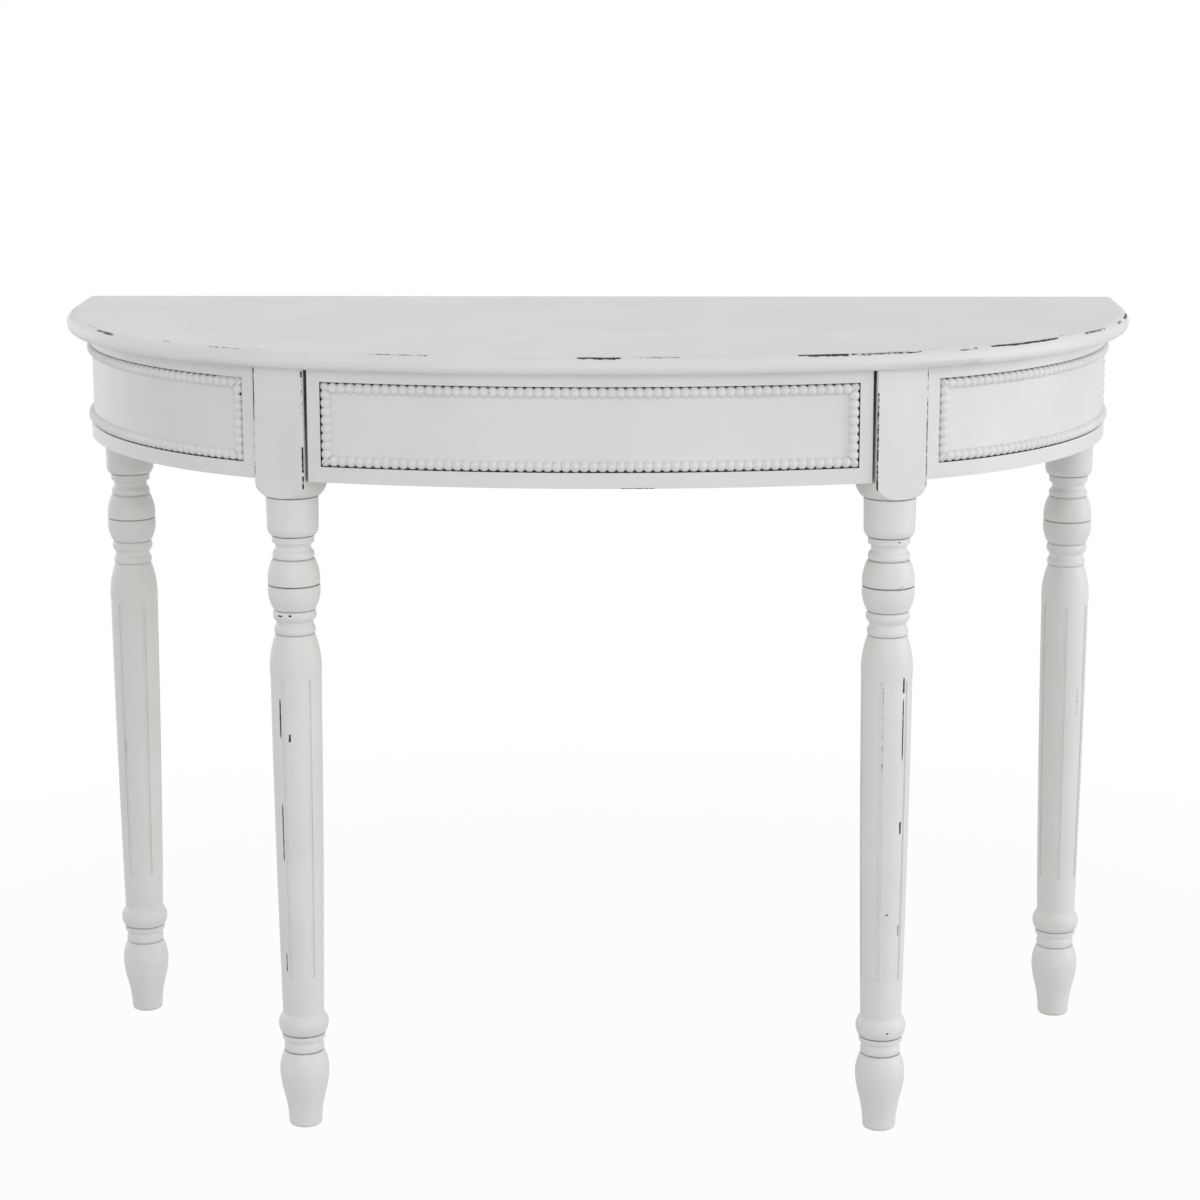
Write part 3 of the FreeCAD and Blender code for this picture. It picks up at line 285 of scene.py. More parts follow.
def paint(name, wear_and_shade_masks, brushed=BRUSHED_ALONG):
    """Paint that is rubbed through, darkened with painted shade and greyed where its two masks say so."""
    material, shader, place = start_material(name)
    chips = place.noise(CHIPS_PER_METRE, detail=3.0, roughness=0.6)
    patches = place.noise(PATCHES_PER_METRE, detail=1.0)
    # the first mask holds rubbed-through wear and the painted shade round the sunk fields, both shown as
    # dark ground
    rubbing_and_painted_shade, grey_and_gap_shade = wear_and_shade_masks(place)
    rubbed = rubbing_and_painted_shade + chips.from_middle() * CHIP_SWING + patches.from_middle() * PATCH_SWING
    thin = rubbed.fade(*THIN_LEVELS) * THIN_SHARE
    bare_and_painted_shade = rubbed.fade(*BARE_AND_SHADE_LEVELS)
    clouds = place.noise(CLOUDS_PER_METRE, detail=3.0).fade(*CLOUD_LEVELS)
    white = clouds.mixed(PAINT_LIGHT, PAINT_SHADE)
    # grey in the turned grooves, and painted shade in the gap beside the drawer
    greyed_and_shaded = (grey_and_gap_shade * (GREY_LEAST + patches * GREY_SWING)).mixed(white, GREY_AND_PAINTED_SHADE)
    feed(shader, "Base Color", bare_and_painted_shade.mixed(thin.mixed(greyed_and_shaded, PAINT_THIN), GROUND_AND_SHADE_DARK))
    strokes = place.stretched(brushed).noise(STROKE_SCALE, detail=4.0, roughness=0.6)
    roughness = PAINT_ROUGHNESS + strokes.from_middle() * STROKE_ROUGHNESS + bare_and_painted_shade * DARK_ROUGHNESS
    feed(shader, "Roughness", roughness)
    relief = {"Strength": RELIEF_STRENGTH, "Distance": RELIEF_DEPTH, "Height": strokes * STROKE_SHARE - bare_and_painted_shade}
    feed(shader, "Normal", place.node("ShaderNodeBump", inputs=relief))
    shader.inputs["Specular IOR Level"].default_value = PAINT_SPECULAR
    return material


print("paint ready")

# %% [markdown]
# The beads escaped the sandpaper, and only have a few specks where the paint missed. The rail on the wall
# side was never rubbed at all. Both masks are simple, so these two paints are mixed at once.

# %% Paint for beads and for the back
SPECKS_PER_METRE = 230.0
SPECK_LEVELS = (0.85, 0.9)
SPECK_STRENGTH = 0.7


def pinholes(place):
    """Nothing rubbed through but a few specks, and nothing greyed."""
    return place.noise(SPECKS_PER_METRE, detail=0.0).fade(*SPECK_LEVELS) * SPECK_STRENGTH, 0.0


def unworn(place):
    """Nothing rubbed and nothing greyed, at any place."""
    return 0.0, 0.0


bead_paint = paint("bead_paint", pinholes)
plain_paint = paint("plain_paint", unworn)
print("mixed", bead_paint.name, "and", plain_paint.name)

# %% [markdown]
# Wear on the top
#
# Sandpaper has caught the upper shoulder of the rounded edge in short runs. Each run is a thin line that
# keeps a fixed distance from the outline. It is given by the places where it starts and ends, in metres
# from the middle, by its distance from the outline and by how hard it was rubbed. The lines could be drawn
# on a picture of the edge, but worked out from the outline they need no unwrapping and stay sharp close
# by. A slow noise makes them wander a little. Past the right end the outline runs backwards, so the runs
# there are measured along the depth of the table.

# %% Wear on the top
SHOULDER_RUNS = [
    (-0.505, -0.495, 0.0092, 0.48), (-0.488, -0.471, 0.0044, 0.62), (-0.411, -0.405, 0.0085, 0.50),
    (-0.363, -0.330, 0.0078, 0.50), (-0.325, -0.310, 0.0100, 0.46), (-0.204, -0.152, 0.0078, 0.55),
    (-0.230, -0.130, 0.0125, 0.42), (-0.009, 0.028, 0.0067, 0.74), (0.010, 0.050, 0.0118, 0.44),
    (0.048, 0.084, 0.0073, 0.54), (-0.060, 0.120, 0.0130, 0.41), (0.196, 0.240, 0.0070, 0.74),
    (0.206, 0.240, 0.0056, 0.66), (0.250, 0.300, 0.0055, 0.52), (-0.005, 0.024, 0.0058, 0.60),
    (0.246, 0.310, 0.0067, 0.60), (0.255, 0.330, 0.0112, 0.46), (0.351, 0.365, 0.0052, 0.54),
    (0.382, 0.448, 0.0057, 0.76), (0.400, 0.470, 0.0107, 0.46), (0.483, 0.505, 0.0047, 0.58),
]
RIGHT_END_RUNS = [(0.037, 0.050, 0.0047, 0.60), (0.075, 0.112, 0.0037, 0.66)]
RIGHT_END_X = 0.512
RUN_HALF = 0.0007
RUN_SOFT = 0.0022
RUN_END_SOFT = 0.006
WANDERS_PER_METRE = 26.0
WANDER = 0.004
SHOULDER_LOW = cad_high.z - 0.005
SHOULDER_HIGH = cad_high.z - 0.003


def inset_from_outline(x, y):
    """How far a point of the top lies inside its outline."""
    front = front_centre[1] - y
    front_inset = TOP_FRONT_RADIUS - x.length_with(front)
    outward = abs(x) - top_reach
    backward = (y - side_centre_y).least(0.0)
    side_inset = TOP_SIDE_RADIUS - outward.length_with(backward)
    beyond_joint = (abs(x) - front * math.tan(top_joint_turn)).over(0.0)
    return front_inset + (side_inset - front_inset) * beyond_joint


def top_wear(place):
    """The rubbed runs on the shoulder of the top, and nothing greyed."""
    x, y, z = place.axes()
    inset = inset_from_outline(x, y) + place.noise(WANDERS_PER_METRE).from_middle() * WANDER
    at_right_end = x.over(RIGHT_END_X)
    stretches = [(x, 1 - at_right_end, SHOULDER_RUNS), (y, at_right_end, RIGHT_END_RUNS)]
    rubbed = []
    for along, on_stretch, runs in stretches:
        for start, end, distance, strength in runs:
            line = inset.near(distance, RUN_HALF, RUN_SOFT) * along.between(start, end, RUN_END_SOFT)
            rubbed.append(line * on_stretch * strength)
    return strongest(rubbed) * z.fade(SHOULDER_LOW, SHOULDER_HIGH), 0.0


top_paint = paint("top_paint", top_wear)
print("top rubbed in", len(SHOULDER_RUNS) + len(RIGHT_END_RUNS), "runs")

# %% [markdown]
# Where the legs stand
#
# Wear on a leg follows the leg, so its masks need the leg's axis, which is the middle of its box in the
# frame. The front legs are turned to face along the bow. One helper measures how far a place lies from
# the axis in a level direction, counted in degrees from the leg's own right.

# %% Axes of the legs
LEG_TURNS = {"front_leg_left": -21.1, "front_leg_right": 21.1, "back_leg_left": 0.0, "back_leg_right": 0.0}
FRONT_LEGS = ("front_leg_left", "front_leg_right")
TO_RIGHT = 0.0
TO_BACK = 90.0
BLOCK_HALF = 0.026


def leg_axis(leg):
    low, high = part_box(leg)
    return (low.x + high.x) / 2, (low.y + high.y) / 2


def from_axis(leg, x, y, direction):
    """Distance of a place from a leg's axis, in one of the leg's own level directions."""
    leg_x, leg_y = leg_axis(leg)
    heading = math.radians(LEG_TURNS[leg] + direction)
    return (x - leg_x) * math.cos(heading) + (y - leg_y) * math.sin(heading)


for leg in LEG_TURNS:
    print(leg, "stands at", [round(part, 4) for part in leg_axis(leg)])

# %% [markdown]
# Grooves and streaks on the legs
#
# The turned grooves are greyed, each at its own height and strength. A turned shape is the same all
# round, so a mask of the height alone fills a groove on every side of the leg. A few streaks are rubbed
# into the fluted shafts, the rings and the blocks. A streak is given by its turn about the leg's axis and
# half its width, in degrees, by its lower and upper end and by how hard it was rubbed. It thins out
# towards its ends.

# %% Masks for grooves and streaks
GROOVES = {
    0.637: 1.0, 0.5986: 0.75, 0.576: 0.6, 0.5505: 0.95,
    0.5256: 0.5, 0.502: 0.6, 0.0962: 0.7, 0.0782: 0.7,
}
GROOVE_HALF = 0.0003
GROOVE_SOFT = 0.0008
BACK_LEG_GREY = 0.65
LEG_STREAKS = {
    "front_leg_left": [
        (-34, 2.0, 0.403, 0.439, 0.84), (-11, 2.4, 0.399, 0.406, 0.8), (-35, 1.7, 0.279, 0.335, 0.8),
        (-38, 1.7, 0.164, 0.182, 0.74), (-36, 7.0, 0.5211, 0.5224, 0.86), (-6, 3.4, 0.5217, 0.5233, 0.9),
        (-66, 2.5, 0.640, 0.648, 0.75), (-66, 2.2, 0.7575, 0.7615, 0.75),
    ],
    "front_leg_right": [
        (38, 2.4, 0.449, 0.463, 0.86), (38, 1.8, 0.385, 0.441, 0.82), (37, 2.4, 0.308, 0.319, 0.95),
        (40, 1.6, 0.203, 0.214, 0.68), (7, 4.0, 0.2256, 0.2268, 0.7), (12, 3.0, 0.1043, 0.1057, 0.76),
        (25, 3.0, 0.595, 0.596, 0.66), (28, 3.0, 0.5525, 0.5535, 0.66), (-11, 2.2, 0.365, 0.46, 0.45),
    ],
    "back_leg_left": [(-30, 1.4, 0.29, 0.31, 0.55)],
    "back_leg_right": [(35, 1.4, 0.34, 0.37, 0.55)],
}
STREAK_HALF = 0.4
STREAK_SOFT = 1.5
STREAK_END_INSET = 0.125
STREAK_END_SOFT = 0.4


def groove_grey(leg, z):
    """Grey in the turned grooves, less of it on the back legs."""
    share = 1.0 if leg in FRONT_LEGS else BACK_LEG_GREY
    return strongest([z.near(height, GROOVE_HALF, GROOVE_SOFT) * (strength * share)
                      for height, strength in GROOVES.items()])


def streak(turn, z, degrees, half_width, low, high, strength):
    """One streak, softest at its ends, whose margins are shares of its width and length."""
    reach = math.radians(half_width)
    length = high - low
    inset = length * STREAK_END_INSET
    beside = turn.near(math.radians(degrees), reach * STREAK_HALF, reach * STREAK_SOFT)
    return beside * z.between(low + inset, high - inset, length * STREAK_END_SOFT) * strength


print("streaks on the legs:", sum(len(streaks) for streaks in LEG_STREAKS.values()))

# %% [markdown]
# The square blocks of the legs
#
# The two front arrises of each block are rubbed in dashes, given by their lower and upper end and their
# strength, for the left arris first. The sides of the front blocks that face the drawer are darkened with
# painted shade, darkest near the top, for the shadow in the gap beside the drawer.

# %% Wear on the legs
ARRIS_DASHES = {
    "front_leg_left": ([(0.714, 0.763, 0.8), (0.659, 0.714, 0.54)],
                       [(0.756, 0.76, 0.7), (0.72, 0.753, 0.46), (0.665, 0.688, 0.7), (0.642, 0.66, 0.64)]),
    "front_leg_right": ([(0.66, 0.74, 0.6), (0.644, 0.66, 0.7)],
                        [(0.735, 0.762, 0.54), (0.69, 0.735, 0.6), (0.645, 0.69, 0.62)]),
    "back_leg_left": ([(0.68, 0.75, 0.5)], [(0.66, 0.7, 0.5)]),
    "back_leg_right": ([(0.66, 0.72, 0.5)], [(0.67, 0.74, 0.5)]),
}
ARRIS_FADE = (0.0024, 0.0008)
DASH_SOFT = 0.003
# how strongly painted shade darkens the gap beside the drawer, standing in for its shadow
GAP_PAINTED_SHADE = 0.6
GAP_FOOT_SOFT = 0.001
GAP_SIDE_SKIN = (0.0006, 0.0002)
GAP_SHADE_BEHIND_FACE = (0.0035, 0.0045)


def arris_dashes(leg, side, face, z):
    """Masks for the dashes along the two front arrises of a block."""
    arris = abs(abs(side) - BLOCK_HALF).most(abs(face + BLOCK_HALF)).fade(*ARRIS_FADE)
    on_right = side.over(0.0)
    masks = []
    for on_arris, dashes in zip((1 - on_right, on_right), ARRIS_DASHES[leg]):
        for low, high, strength in dashes:
            masks.append(arris * on_arris * z.between(low, high, DASH_SOFT) * strength)
    return masks


def gap_painted_shade(z):
    """Painted shade in the gap beside the drawer: lighter below, darkest near the top."""
    above_foot = z.fade(drawer_low.z - GAP_FOOT_SOFT, drawer_low.z)
    return above_foot * (1 + z.fade(drawer_low.z, drawer_high.z)) * GAP_PAINTED_SHADE


def gap_facing_side(leg, side, face):
    """The side of a front block that faces the drawer, behind the painted arris, where the gap's painted
    shade goes.
    """
    inward = side * math.copysign(1.0, -LEG_TURNS[leg])
    at_side = (BLOCK_HALF - inward).fade(*GAP_SIDE_SKIN)
    return at_side * (face + BLOCK_HALF).fade(*GAP_SHADE_BEHIND_FACE)


def leg_wear(leg):
    leg_x, leg_y = leg_axis(leg)

    def wear_and_shade_masks(place):
        x, y, z = place.axes()
        turn = (x - leg_x).turn_from(leg_y - y)
        side = from_axis(leg, x, y, TO_RIGHT)
        face = from_axis(leg, x, y, TO_BACK)
        rubbed = [streak(turn, z, *values) for values in LEG_STREAKS[leg]]
        rubbed += arris_dashes(leg, side, face, z)
        grey_and_gap_shade = groove_grey(leg, z)
        if leg in FRONT_LEGS:
            # painted shade on the block's side, standing in for the shadow in the gap beside the drawer
            grey_and_gap_shade = grey_and_gap_shade.most(gap_facing_side(leg, side, face) * gap_painted_shade(z))
        return strongest(rubbed), grey_and_gap_shade

    return wear_and_shade_masks


leg_paints = {leg: paint(f"{leg}_paint", leg_wear(leg), BRUSHED_DOWN) for leg in LEG_TURNS}
print("paint mixed for", len(leg_paints), "legs")

# %% [markdown]
# The bowed panels
#
# The drawer front and the two side aprons each have a field that is sunk a little inside a frame of beads.
# A field is given by the centre and radius of the bow, by the turns where it starts and ends and by its
# lower and upper edge. The beads along an edge are spaced so that a whole number of them fills it.

# %% Sizes of the panels
FIELD_LOW = 0.670
FIELD_HIGH = 0.751
FIELD_DEPTH = 0.0025
STRIP_WIDTH = 0.012
BEAD_PITCH = 0.0085
DRAWER_FIELD_END = 13.902
APRON_FIELD_START = 27.543
APRON_FIELD_END = 90.5
PANELS = {
    "drawer": {"centre": front_centre, "face": FRONT_RADIUS, "body": "drawer",
               "start": -DRAWER_FIELD_END, "end": DRAWER_FIELD_END},
    "left_apron": {"centre": left_centre, "face": SIDE_RADIUS, "body": "frame",
                   "start": -APRON_FIELD_END, "end": -APRON_FIELD_START},
    "right_apron": {"centre": right_centre, "face": SIDE_RADIUS, "body": "frame",
                    "start": APRON_FIELD_START, "end": APRON_FIELD_END},
}


def beads_along(length):
    return round(length / BEAD_PITCH)


print("beads on an upright:", beads_along(FIELD_HIGH - FIELD_LOW))

# %% [markdown]
# Painted shade round the beaded frames
#
# Painted shade darkens the corner where the sunk field meets its border, and shows as a thin line with small
# triangles between the beads. The triangles count the beads along the nearest edge, so they fall between
# the real ones. On the left apron a short stretch of the upper line is filled with paint.

# %% Dark lines
SUNK_FROM = 0.001
SUNK_SOFT = 0.0007
LINE_BAND = (-0.0005, 0.0008)
LINE_SOFT = 0.0008
LINE_STRENGTH = 0.66
TRIANGLE_BAND = (-0.0005, 0.0034)
TRIANGLE_SOFT = 0.0012
TRIANGLE_STRENGTH = 0.9
TRIANGLE_LEVELS = (0.22, 0.4)
FILLED_START = math.radians(-31.6)
FILLED_END = math.radians(-28.5)
FILLED_SOFT = 0.01


def between_beads(panel, turn, z, on_upright):
    """1 midway between two beads of the nearest edge, and 0 at a bead."""
    start = math.radians(panel["start"])
    sweep = math.radians(panel["end"]) - start
    length = FIELD_HIGH - FIELD_LOW
    rail_beads = (turn - start) * (beads_along(sweep * (panel["face"] - FIELD_DEPTH)) / sweep)
    upright_beads = (z - FIELD_LOW) * (beads_along(length) / length)
    beads = rail_beads + (upright_beads - rail_beads) * on_upright
    return abs(beads.fraction().from_middle()).fade(*TRIANGLE_LEVELS)


def painted_shade_lines(panel, depth, turn, z):
    """The painted shade line and its triangles round the field of a panel."""
    middle = math.radians(panel["start"] + panel["end"]) / 2
    half = math.radians(panel["end"] - panel["start"]) / 2
    from_ends = (half - abs(turn - middle)) * panel["face"]
    from_rails = (z - FIELD_LOW).least(FIELD_HIGH - z)
    inside = from_ends.least(from_rails)
    valleys = between_beads(panel, turn, z, (from_rails - from_ends).over(0.0))
    line = inside.between(*LINE_BAND, LINE_SOFT) * LINE_STRENGTH
    triangles = inside.between(*TRIANGLE_BAND, TRIANGLE_SOFT) * valleys * TRIANGLE_STRENGTH
    filled = turn.between(FILLED_START, FILLED_END, FILLED_SOFT) * z.over(FIELD_HIGH - STRIP_WIDTH / 2)
    sunk = depth.between(SUNK_FROM, FIELD_DEPTH, SUNK_SOFT)
    return sunk * line.most(triangles) * (1 - filled)


print("dark lines ready")

# %% [markdown]
# Edges of the drawer front
#
# The two ends of the drawer front face the legs' blocks across a narrow gap and take the same painted shade.
# Its lower front arris is rubbed in one short run.

# %% Wear on the bowed panels
DRAWER_GAP = 0.0025
GAP_HALF = 0.0002
GAP_SOFT = 0.0004
LIP_RUN = (0.031, 0.06)
LIP_RUN_SOFT = 0.004
LIP_HALF = 0.0005
LIP_SOFT = 0.001
LIP_FADE = (0.002, 0.001)
LIP_STRENGTH = 0.6


def drawer_ends_shade(x, y, z):
    """Painted shade on the ends of the drawer front, a gap away from the legs' blocks."""
    ends = []
    for leg in FRONT_LEGS:
        from_block = abs(from_axis(leg, x, y, TO_RIGHT)) - BLOCK_HALF
        ends.append(from_block.near(DRAWER_GAP, GAP_HALF, GAP_SOFT))
    return strongest(ends) * gap_painted_shade(z)


def drawer_lip(depth, x, z):
    """The rubbed run on the lower front arris of the drawer front."""
    arris = z.near(drawer_low.z, LIP_HALF, LIP_SOFT) * depth.fade(*LIP_FADE)
    return arris * x.between(*LIP_RUN, LIP_RUN_SOFT) * LIP_STRENGTH


def panel_wear(panel):
    centre_x, centre_y = panel["centre"]

    def wear_and_shade_masks(place):
        x, y, z = place.axes()
        across = x - centre_x
        front = centre_y - y
        depth = panel["face"] - across.length_with(front)
        # painted shade in the corner round the sunk field and between the beads
        lines = painted_shade_lines(panel, depth, across.turn_from(front), z)
        if panel["body"] == "drawer":
            # the drawer front's ends take the same painted shade as the gap beside them
            return lines.most(drawer_lip(depth, x, z)), drawer_ends_shade(x, y, z)
        return lines, 0.0

    return wear_and_shade_masks


panel_paints = {name: paint(f"{name}_paint", panel_wear(panel)) for name, panel in PANELS.items()}
print("paint mixed for", len(panel_paints), "panels")

# %% [markdown]
# Wood and steel inside
#
# Nobody paints the rails, the runners or the box of a drawer, so they are bare planed wood. Grain is noise
# stretched along the board, with a finer layer for the pores. It fills the space of the piece and isn't
# wrapped round it, so long grain turns into end grain at the edges, as it does on a sawn board. The bottom
# of the drawer is paler plywood, and the screws are zinc plated.

# %% Bare wood, plywood and steel
PINE_LIGHT = tone(216, 188, 150)
PINE_DARK = tone(180, 144, 102)
PLY_LIGHT = tone(224, 202, 168)
PLY_DARK = tone(203, 176, 138)
ZINC = tone(190, 190, 188)
RING_LEVELS = (0.32, 0.68)
RING_SHARE = 0.75
PORE_LEVELS = (0.5, 0.72)
PORE_FINENESS = 5
WOOD_ROUGHNESS = 0.62
PORE_ROUGHNESS = 0.2
PORE_STRENGTH = 0.2
PORE_DEPTH = 0.0003
ZINC_ROUGHNESS = 0.3
ZINC_GRAINS_PER_METRE = 900.0
ZINC_SWING = 0.2


def wood(name, light, dark, grain):
    """Bare wood whose grain runs along the axis with the smallest number."""
    material, shader, place = start_material(name)
    rings = place.stretched(grain).noise(1.0, detail=3.0, roughness=0.55)
    pores = place.stretched([stretch * PORE_FINENESS for stretch in grain]).noise(2.0, roughness=0.6)
    figure = rings.fade(*RING_LEVELS) * RING_SHARE + pores.fade(*PORE_LEVELS) * (1 - RING_SHARE)
    feed(shader, "Base Color", figure.mixed(light, dark))
    feed(shader, "Roughness", WOOD_ROUGHNESS + pores.from_middle() * PORE_ROUGHNESS)
    relief = {"Strength": PORE_STRENGTH, "Distance": PORE_DEPTH, "Height": pores}
    feed(shader, "Normal", place.node("ShaderNodeBump", inputs=relief))
    return material


long_wood = wood("wood_along_front", PINE_LIGHT, PINE_DARK, (5.0, 70.0, 70.0))
deep_wood = wood("wood_front_to_back", PINE_LIGHT, PINE_DARK, (70.0, 5.0, 70.0))
plywood = wood("drawer_plywood", PLY_LIGHT, PLY_DARK, (6.0, 45.0, 45.0))

steel, steel_shader, steel_place = start_material("screw_steel")
steel_shader.inputs["Base Color"].default_value = ZINC
steel_shader.inputs["Metallic"].default_value = 1.0
feed(steel_shader, "Roughness", ZINC_ROUGHNESS + steel_place.noise(ZINC_GRAINS_PER_METRE) * ZINC_SWING)
print("woods and steel ready")

# %% [markdown]
# Finish for each piece of the frame
#
# The pieces whose shape is already right keep the frame's own mesh, and only get their finish. What isn't
# named here is bare wood, with its grain from front to back on the deep pieces and along the front on the
# others.

# %% Hand out the finishes
FINISHES = {
    "top": top_paint,
    "drawer_front": panel_paints["drawer"],
    "side_apron_left": panel_paints["left_apron"],
    "side_apron_right": panel_paints["right_apron"],
    "back_rail": plain_paint,
    "drawer_bottom": plywood,
    "rail_screws": steel,
    "top_screws": steel,
    **leg_paints,
}
DEEP_PIECES = ("runner_left", "runner_right", "kicker_left", "kicker_right", "drawer_left_side",
               "drawer_right_side", "drawer_dowels", "runner_dowels")
for name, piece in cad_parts.items():
    finish = FINISHES.get(name) or (deep_wood if name in DEEP_PIECES else long_wood)
    piece.data.materials.clear()
    piece.data.materials.append(finish)
print("finishes on", len(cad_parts), "pieces")

# %% [markdown]
# Bead mouldings
#
# A bead moulding is a rod that was turned into a row of beads and split down its length, then bent round
# the panel and mitred at the corners. Hundreds of beads have to stay light, so one bead is shaped from a
# coarse ball, cut in half for its flat back and trimmed where it meets its neighbours. The uprights copy it
# with an Array, and the curved rails copy it by spinning duplicates about the centre of the bow.

# %% One bead
BEAD_HALF_WIDTH = 0.0054
BEAD_HEIGHT = 0.0054
BEAD_SWELL = 0.0055
BEAD_MIDDLE = 0.0058
BALL_SEGMENTS = 16
BALL_RINGS = 8
MITRE_GAP = 0.00012
ROW_MERGE = 0.0001
STRIP_MERGE = 0.00012
SMOOTH_BELOW = math.radians(42)


def cut_away(point, normal, fill):
    """Remove what lies beyond a plane, on the side that its normal points to."""
    bpy.ops.mesh.select_all(action="SELECT")
    bpy.ops.mesh.bisect(plane_co=point, plane_no=normal, use_fill=fill, clear_outer=True)


def model_bead(name, pitch):
    """A half bead at the origin, its flat back to the wall side and its length upright, in edit mode."""
    bpy.ops.object.select_all(action="DESELECT")
    bpy.ops.mesh.primitive_uv_sphere_add(segments=BALL_SEGMENTS, ring_count=BALL_RINGS, radius=1.0)
    bead = bpy.context.object
    bead.name = name
    bead.data.name = name
    bpy.ops.object.mode_set(mode="EDIT")
    bpy.ops.mesh.select_all(action="SELECT")
    bpy.ops.transform.resize(value=(BEAD_HALF_WIDTH, BEAD_HEIGHT, BEAD_SWELL))
    cut_away((0, 0, 0), (0, 1, 0), True)
    cut_away((0, 0, pitch / 2), (0, 0, 1), False)
    cut_away((0, 0, -pitch / 2), (0, 0, -1), False)
    bpy.ops.mesh.select_all(action="SELECT")
    return bead


def close_strip(strip, corners, body, node):
    """Mitre a strip at its two corners, smooth it and let it stand for its piece of the frame."""
    bpy.ops.object.mode_set(mode="EDIT")
    for point, normal in corners:
        cut_away(point, normal, True)
    bpy.ops.mesh.select_all(action="SELECT")
    bpy.ops.mesh.remove_doubles(threshold=STRIP_MERGE)
    bpy.ops.mesh.normals_make_consistent(inside=False)
    bpy.ops.object.mode_set(mode="OBJECT")
    bpy.ops.object.shade_smooth_by_angle(angle=SMOOTH_BELOW)
    strip.data.materials.append(bead_paint)
    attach(strip, body)
    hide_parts(node)


print("bead is", BEAD_HALF_WIDTH * 2, "m wide and about", BEAD_PITCH, "m long")

# %% [markdown]
# The corner planes run from the outer to the inner corner of the frame and straight out of the panel.
# What lies above a lower mitre belongs to the upright, and what lies below it to the rail.


# %% Corners of the frames
def place_on(panel, degrees, radius, height):
    turn = math.radians(degrees)
    centre_x, centre_y = panel["centre"]
    return (centre_x + radius * math.sin(turn), centre_y - radius * math.cos(turn), height)


def mitre(panel, at_start, at_low, for_rail):
    """The point and the outward normal of the cut at one corner of a panel's frame."""
    degrees = panel["start"] if at_start else panel["end"]
    height = FIELD_LOW if at_low else FIELD_HIGH
    corner = place_on(panel, degrees, panel["face"] - FIELD_DEPTH, height)
    inward = 1.0 if at_start else -1.0
    turn = math.radians(degrees)
    normal = [-inward * math.cos(turn), -inward * math.sin(turn), 1.0 if at_low else -1.0]
    if not for_rail:
        normal = [-part for part in normal]
    normal_length = math.sqrt(2.0)
    point = [at - MITRE_GAP * part / normal_length for at, part in zip(corner, normal)]
    return point, normal


print("first corner of the drawer's frame:", mitre(PANELS["drawer"], True, True, True)[0])

# %% [markdown]
# A rail starts as one bead, laid level, moved out to the bow and turned to the start of the field. An
# upright starts as one bead that is moved to the lower corner and turned to its end of the field.


# %% Rails and uprights
def bead_rail(panel_name, panel, at_low):
    """One curved row of beads, along the lower or the upper edge of a field."""
    radius = panel["face"] - FIELD_DEPTH
    sweep = math.radians(panel["end"] - panel["start"])
    count = beads_along(radius * sweep)
    side = "bottom" if at_low else "top"
    rail = model_bead(f"{panel_name}_pearls_{side}", radius * sweep / count)
    height = FIELD_LOW + BEAD_MIDDLE if at_low else FIELD_HIGH - BEAD_MIDDLE
    centre_x, centre_y = panel["centre"]
    bpy.ops.transform.rotate(value=math.pi / 2, orient_axis="Y", center_override=(0, 0, 0))
    bpy.ops.transform.translate(value=(centre_x, centre_y - radius, height))
    first_turn = math.radians(panel["start"]) + sweep / count / 2
    middle = (centre_x, centre_y, 0.0)
    bpy.ops.transform.rotate(value=-first_turn, orient_axis="Z", center_override=middle)
    whole_turn = -sweep * (count - 1) / count
    bpy.ops.mesh.spin(steps=count - 1, dupli=True, angle=whole_turn, center=middle, axis=(0, 0, 1))
    bpy.ops.object.mode_set(mode="OBJECT")
    corners = [mitre(panel, at_start, at_low, True) for at_start in (True, False)]
    close_strip(rail, corners, panel["body"], f"{panel_name}_beads_{side}")
    return count


def bead_upright(panel_name, panel, at_start):
    """One straight row of beads, at the left or the right end of a field."""
    radius = panel["face"] - FIELD_DEPTH
    length = FIELD_HIGH - FIELD_LOW
    count = beads_along(length)
    pitch = length / count
    side = "left" if at_start else "right"
    upright = model_bead(f"{panel_name}_pearls_{side}", pitch)
    centre_x, centre_y = panel["centre"]
    bpy.ops.transform.translate(value=(centre_x, centre_y - radius, FIELD_LOW + pitch / 2))
    margin = math.asin(BEAD_MIDDLE / radius)
    turn = math.radians(panel["start"]) + margin if at_start else math.radians(panel["end"]) - margin
    bpy.ops.transform.rotate(value=-turn, orient_axis="Z", center_override=(centre_x, centre_y, 0.0))
    bpy.ops.object.mode_set(mode="OBJECT")
    row = upright.modifiers.new("row", "ARRAY")
    row.use_relative_offset = False
    row.use_constant_offset = True
    row.constant_offset_displace = (0.0, 0.0, pitch)
    row.count = count
    row.use_merge_vertices = True
    row.merge_threshold = ROW_MERGE
    bpy.ops.object.modifier_apply(modifier="row")
    corners = [mitre(panel, at_start, at_low, False) for at_low in (True, False)]
    close_strip(upright, corners, panel["body"], f"{panel_name}_beads_{side}")
    return count


bead_total = 0
for panel_name, panel in PANELS.items():
    for first in (True, False):
        bead_total += bead_rail(panel_name, panel, first)
        bead_total += bead_upright(panel_name, panel, first)
print("turned", bead_total, "beads for", len(PANELS), "frames")

# %% [markdown]
# Floor, light and a white room
#
# The table stands in a white studio. The floor and the world show plain white to the camera. A floor that
# only glows would let the table float, and a floor that is only lit would be grey, so its shader mixes
# both. Near the table it still takes a soft shadow, which fades out further off, so that no horizon shows.

# %% Floor
FLOOR_SIZE = 30.0
FLOOR_GREY = (0.68, 0.68, 0.68, 1.0)
FLOOR_ROUGHNESS = 0.9
WHITE = (1.0, 1.0, 1.0, 1.0)
WHITE_SHARE = 0.95
SHADOW_REACH = 0.8
SHADOW_END = 1.5


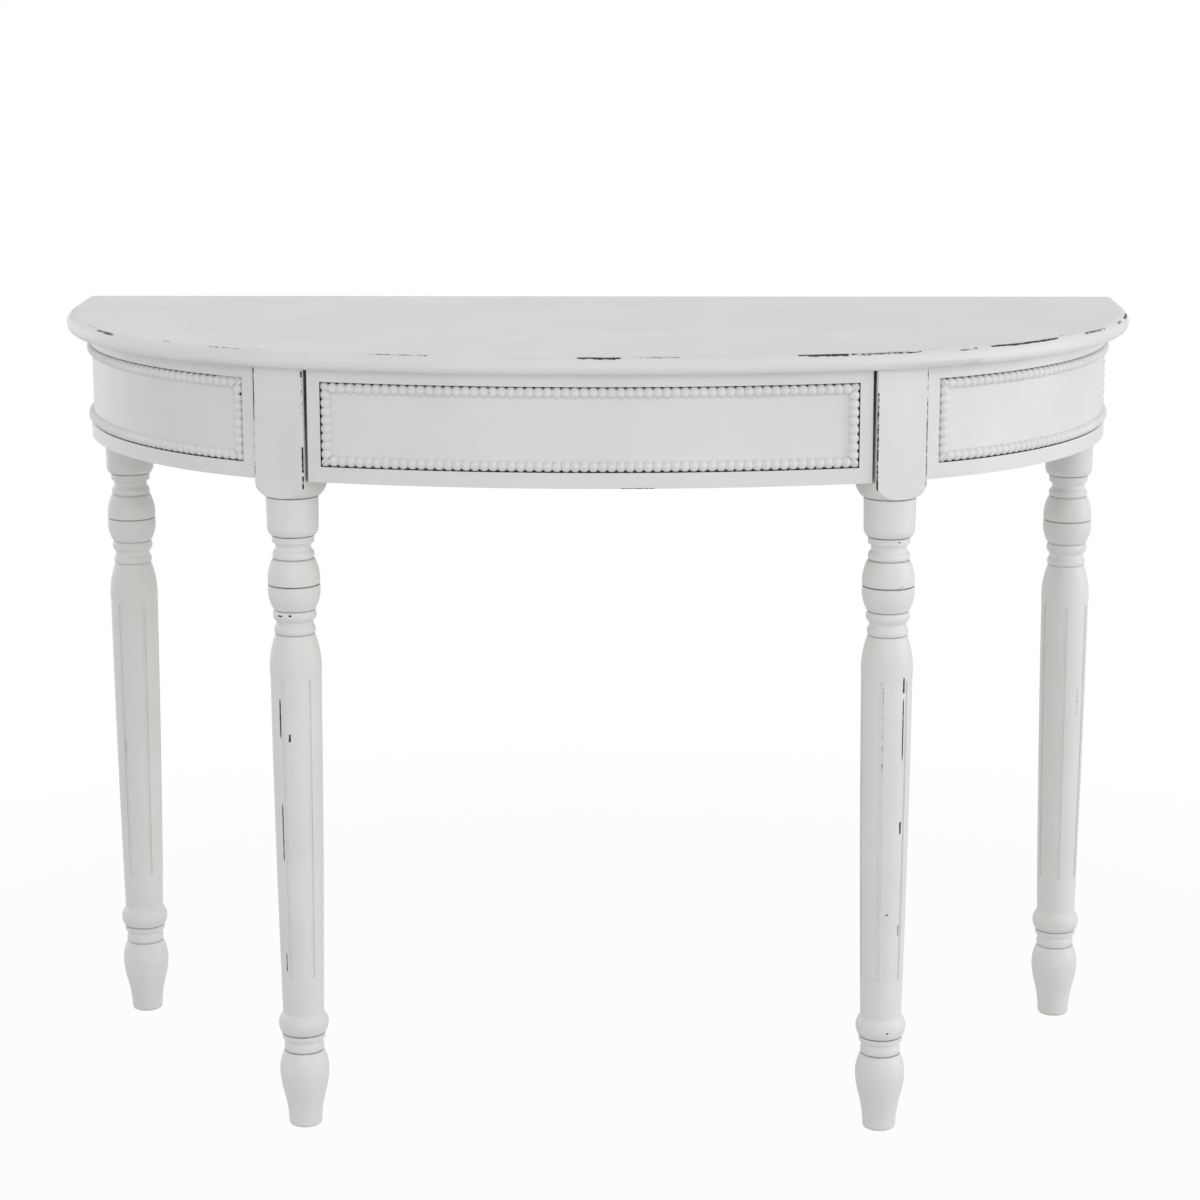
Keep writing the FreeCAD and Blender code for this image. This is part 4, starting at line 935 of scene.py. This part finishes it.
def seen_directly(tree):
    """1 for rays that carry the background to the camera, straight or by a mirror or glass."""
    rays = Signal(tree, None)
    kinds = ["Is Camera Ray", "Is Glossy Ray", "Is Transmission Ray"]
    return strongest([rays.node("ShaderNodeLightPath", output=kind) for kind in kinds])


bpy.ops.object.select_all(action="DESELECT")
bpy.ops.mesh.primitive_plane_add(size=FLOOR_SIZE)
floor = bpy.context.object
floor.name = "studio_floor"
floor_material, floor_shader, floor_place = start_material("studio_white")
floor_shader.inputs["Base Color"].default_value = FLOOR_GREY
floor_shader.inputs["Roughness"].default_value = FLOOR_ROUGHNESS
floor_shader.inputs["Specular IOR Level"].default_value = 0.0
floor_tree = floor_material.node_tree
background = seen_directly(floor_tree)
glow = background.node("ShaderNodeEmission", inputs={"Color": WHITE, "Strength": 1.0})
lit = Signal(floor_tree, floor_shader.outputs[0])
floor_x, floor_y = floor_place.axes()[:2]
far = floor_x.length_with(floor_y).fade(SHADOW_REACH, SHADOW_END)
white_share = background * (WHITE_SHARE + far * (1.0 - WHITE_SHARE))
shown = glow.node("ShaderNodeMixShader", inputs={0: white_share, 1: lit, 2: glow})
floor_tree.links.new(shown.socket, floor_tree.nodes["Material Output"].inputs["Surface"])
floor.data.materials.append(floor_material)
print("floor laid")

# %% [markdown]
# A broad low lamp on the right models the turned legs, one behind the camera lights the drawer, a weak
# one from the rear left lifts the far end of the left apron, and the bright room fills the rest. Small
# lamps would draw hard shadows of the top across the aprons, so all three are large. Each lamp is given by
# its place, its size and its watts, and is aimed at the middle of the table.

# %% World and lamps
ROOM_LIGHT = 0.665
LAMPS = {
    "right_softbox": ((6.0, -0.8, 1.5), 3.6, 105.0),
    "camera_softbox": ((0.0, -3.6, 1.6), 2.2, 24.0),
    "rear_softbox": ((-2.4, 1.8, 0.9), 1.6, 8.0),
}
AIM = (0.0, 0.0, 0.5)
world = bpy.data.worlds.new("white_room")
bpy.context.scene.world = world
world.use_nodes = True
world_tree = world.node_tree
room = world_tree.nodes["Background"]
room.inputs["Color"].default_value = WHITE
room_strength = ROOM_LIGHT + seen_directly(world_tree) * (1.0 - ROOM_LIGHT)
world_tree.links.new(room_strength.socket, room.inputs["Strength"])

for name, (lamp_place, size, watts) in LAMPS.items():
    aim_x, aim_y, aim_z = [target - at for target, at in zip(AIM, lamp_place)]
    tilt = math.atan2(math.hypot(aim_x, aim_y), -aim_z)
    heading = math.atan2(-aim_x, aim_y)
    bpy.ops.object.light_add(type="AREA", location=lamp_place, rotation=(tilt, 0.0, heading))
    lamp = bpy.context.object
    lamp.name = name
    lamp.data.size = size
    lamp.data.energy = watts
bpy.context.scene.view_settings.view_transform = "Standard"
print("lamps:", list(LAMPS))
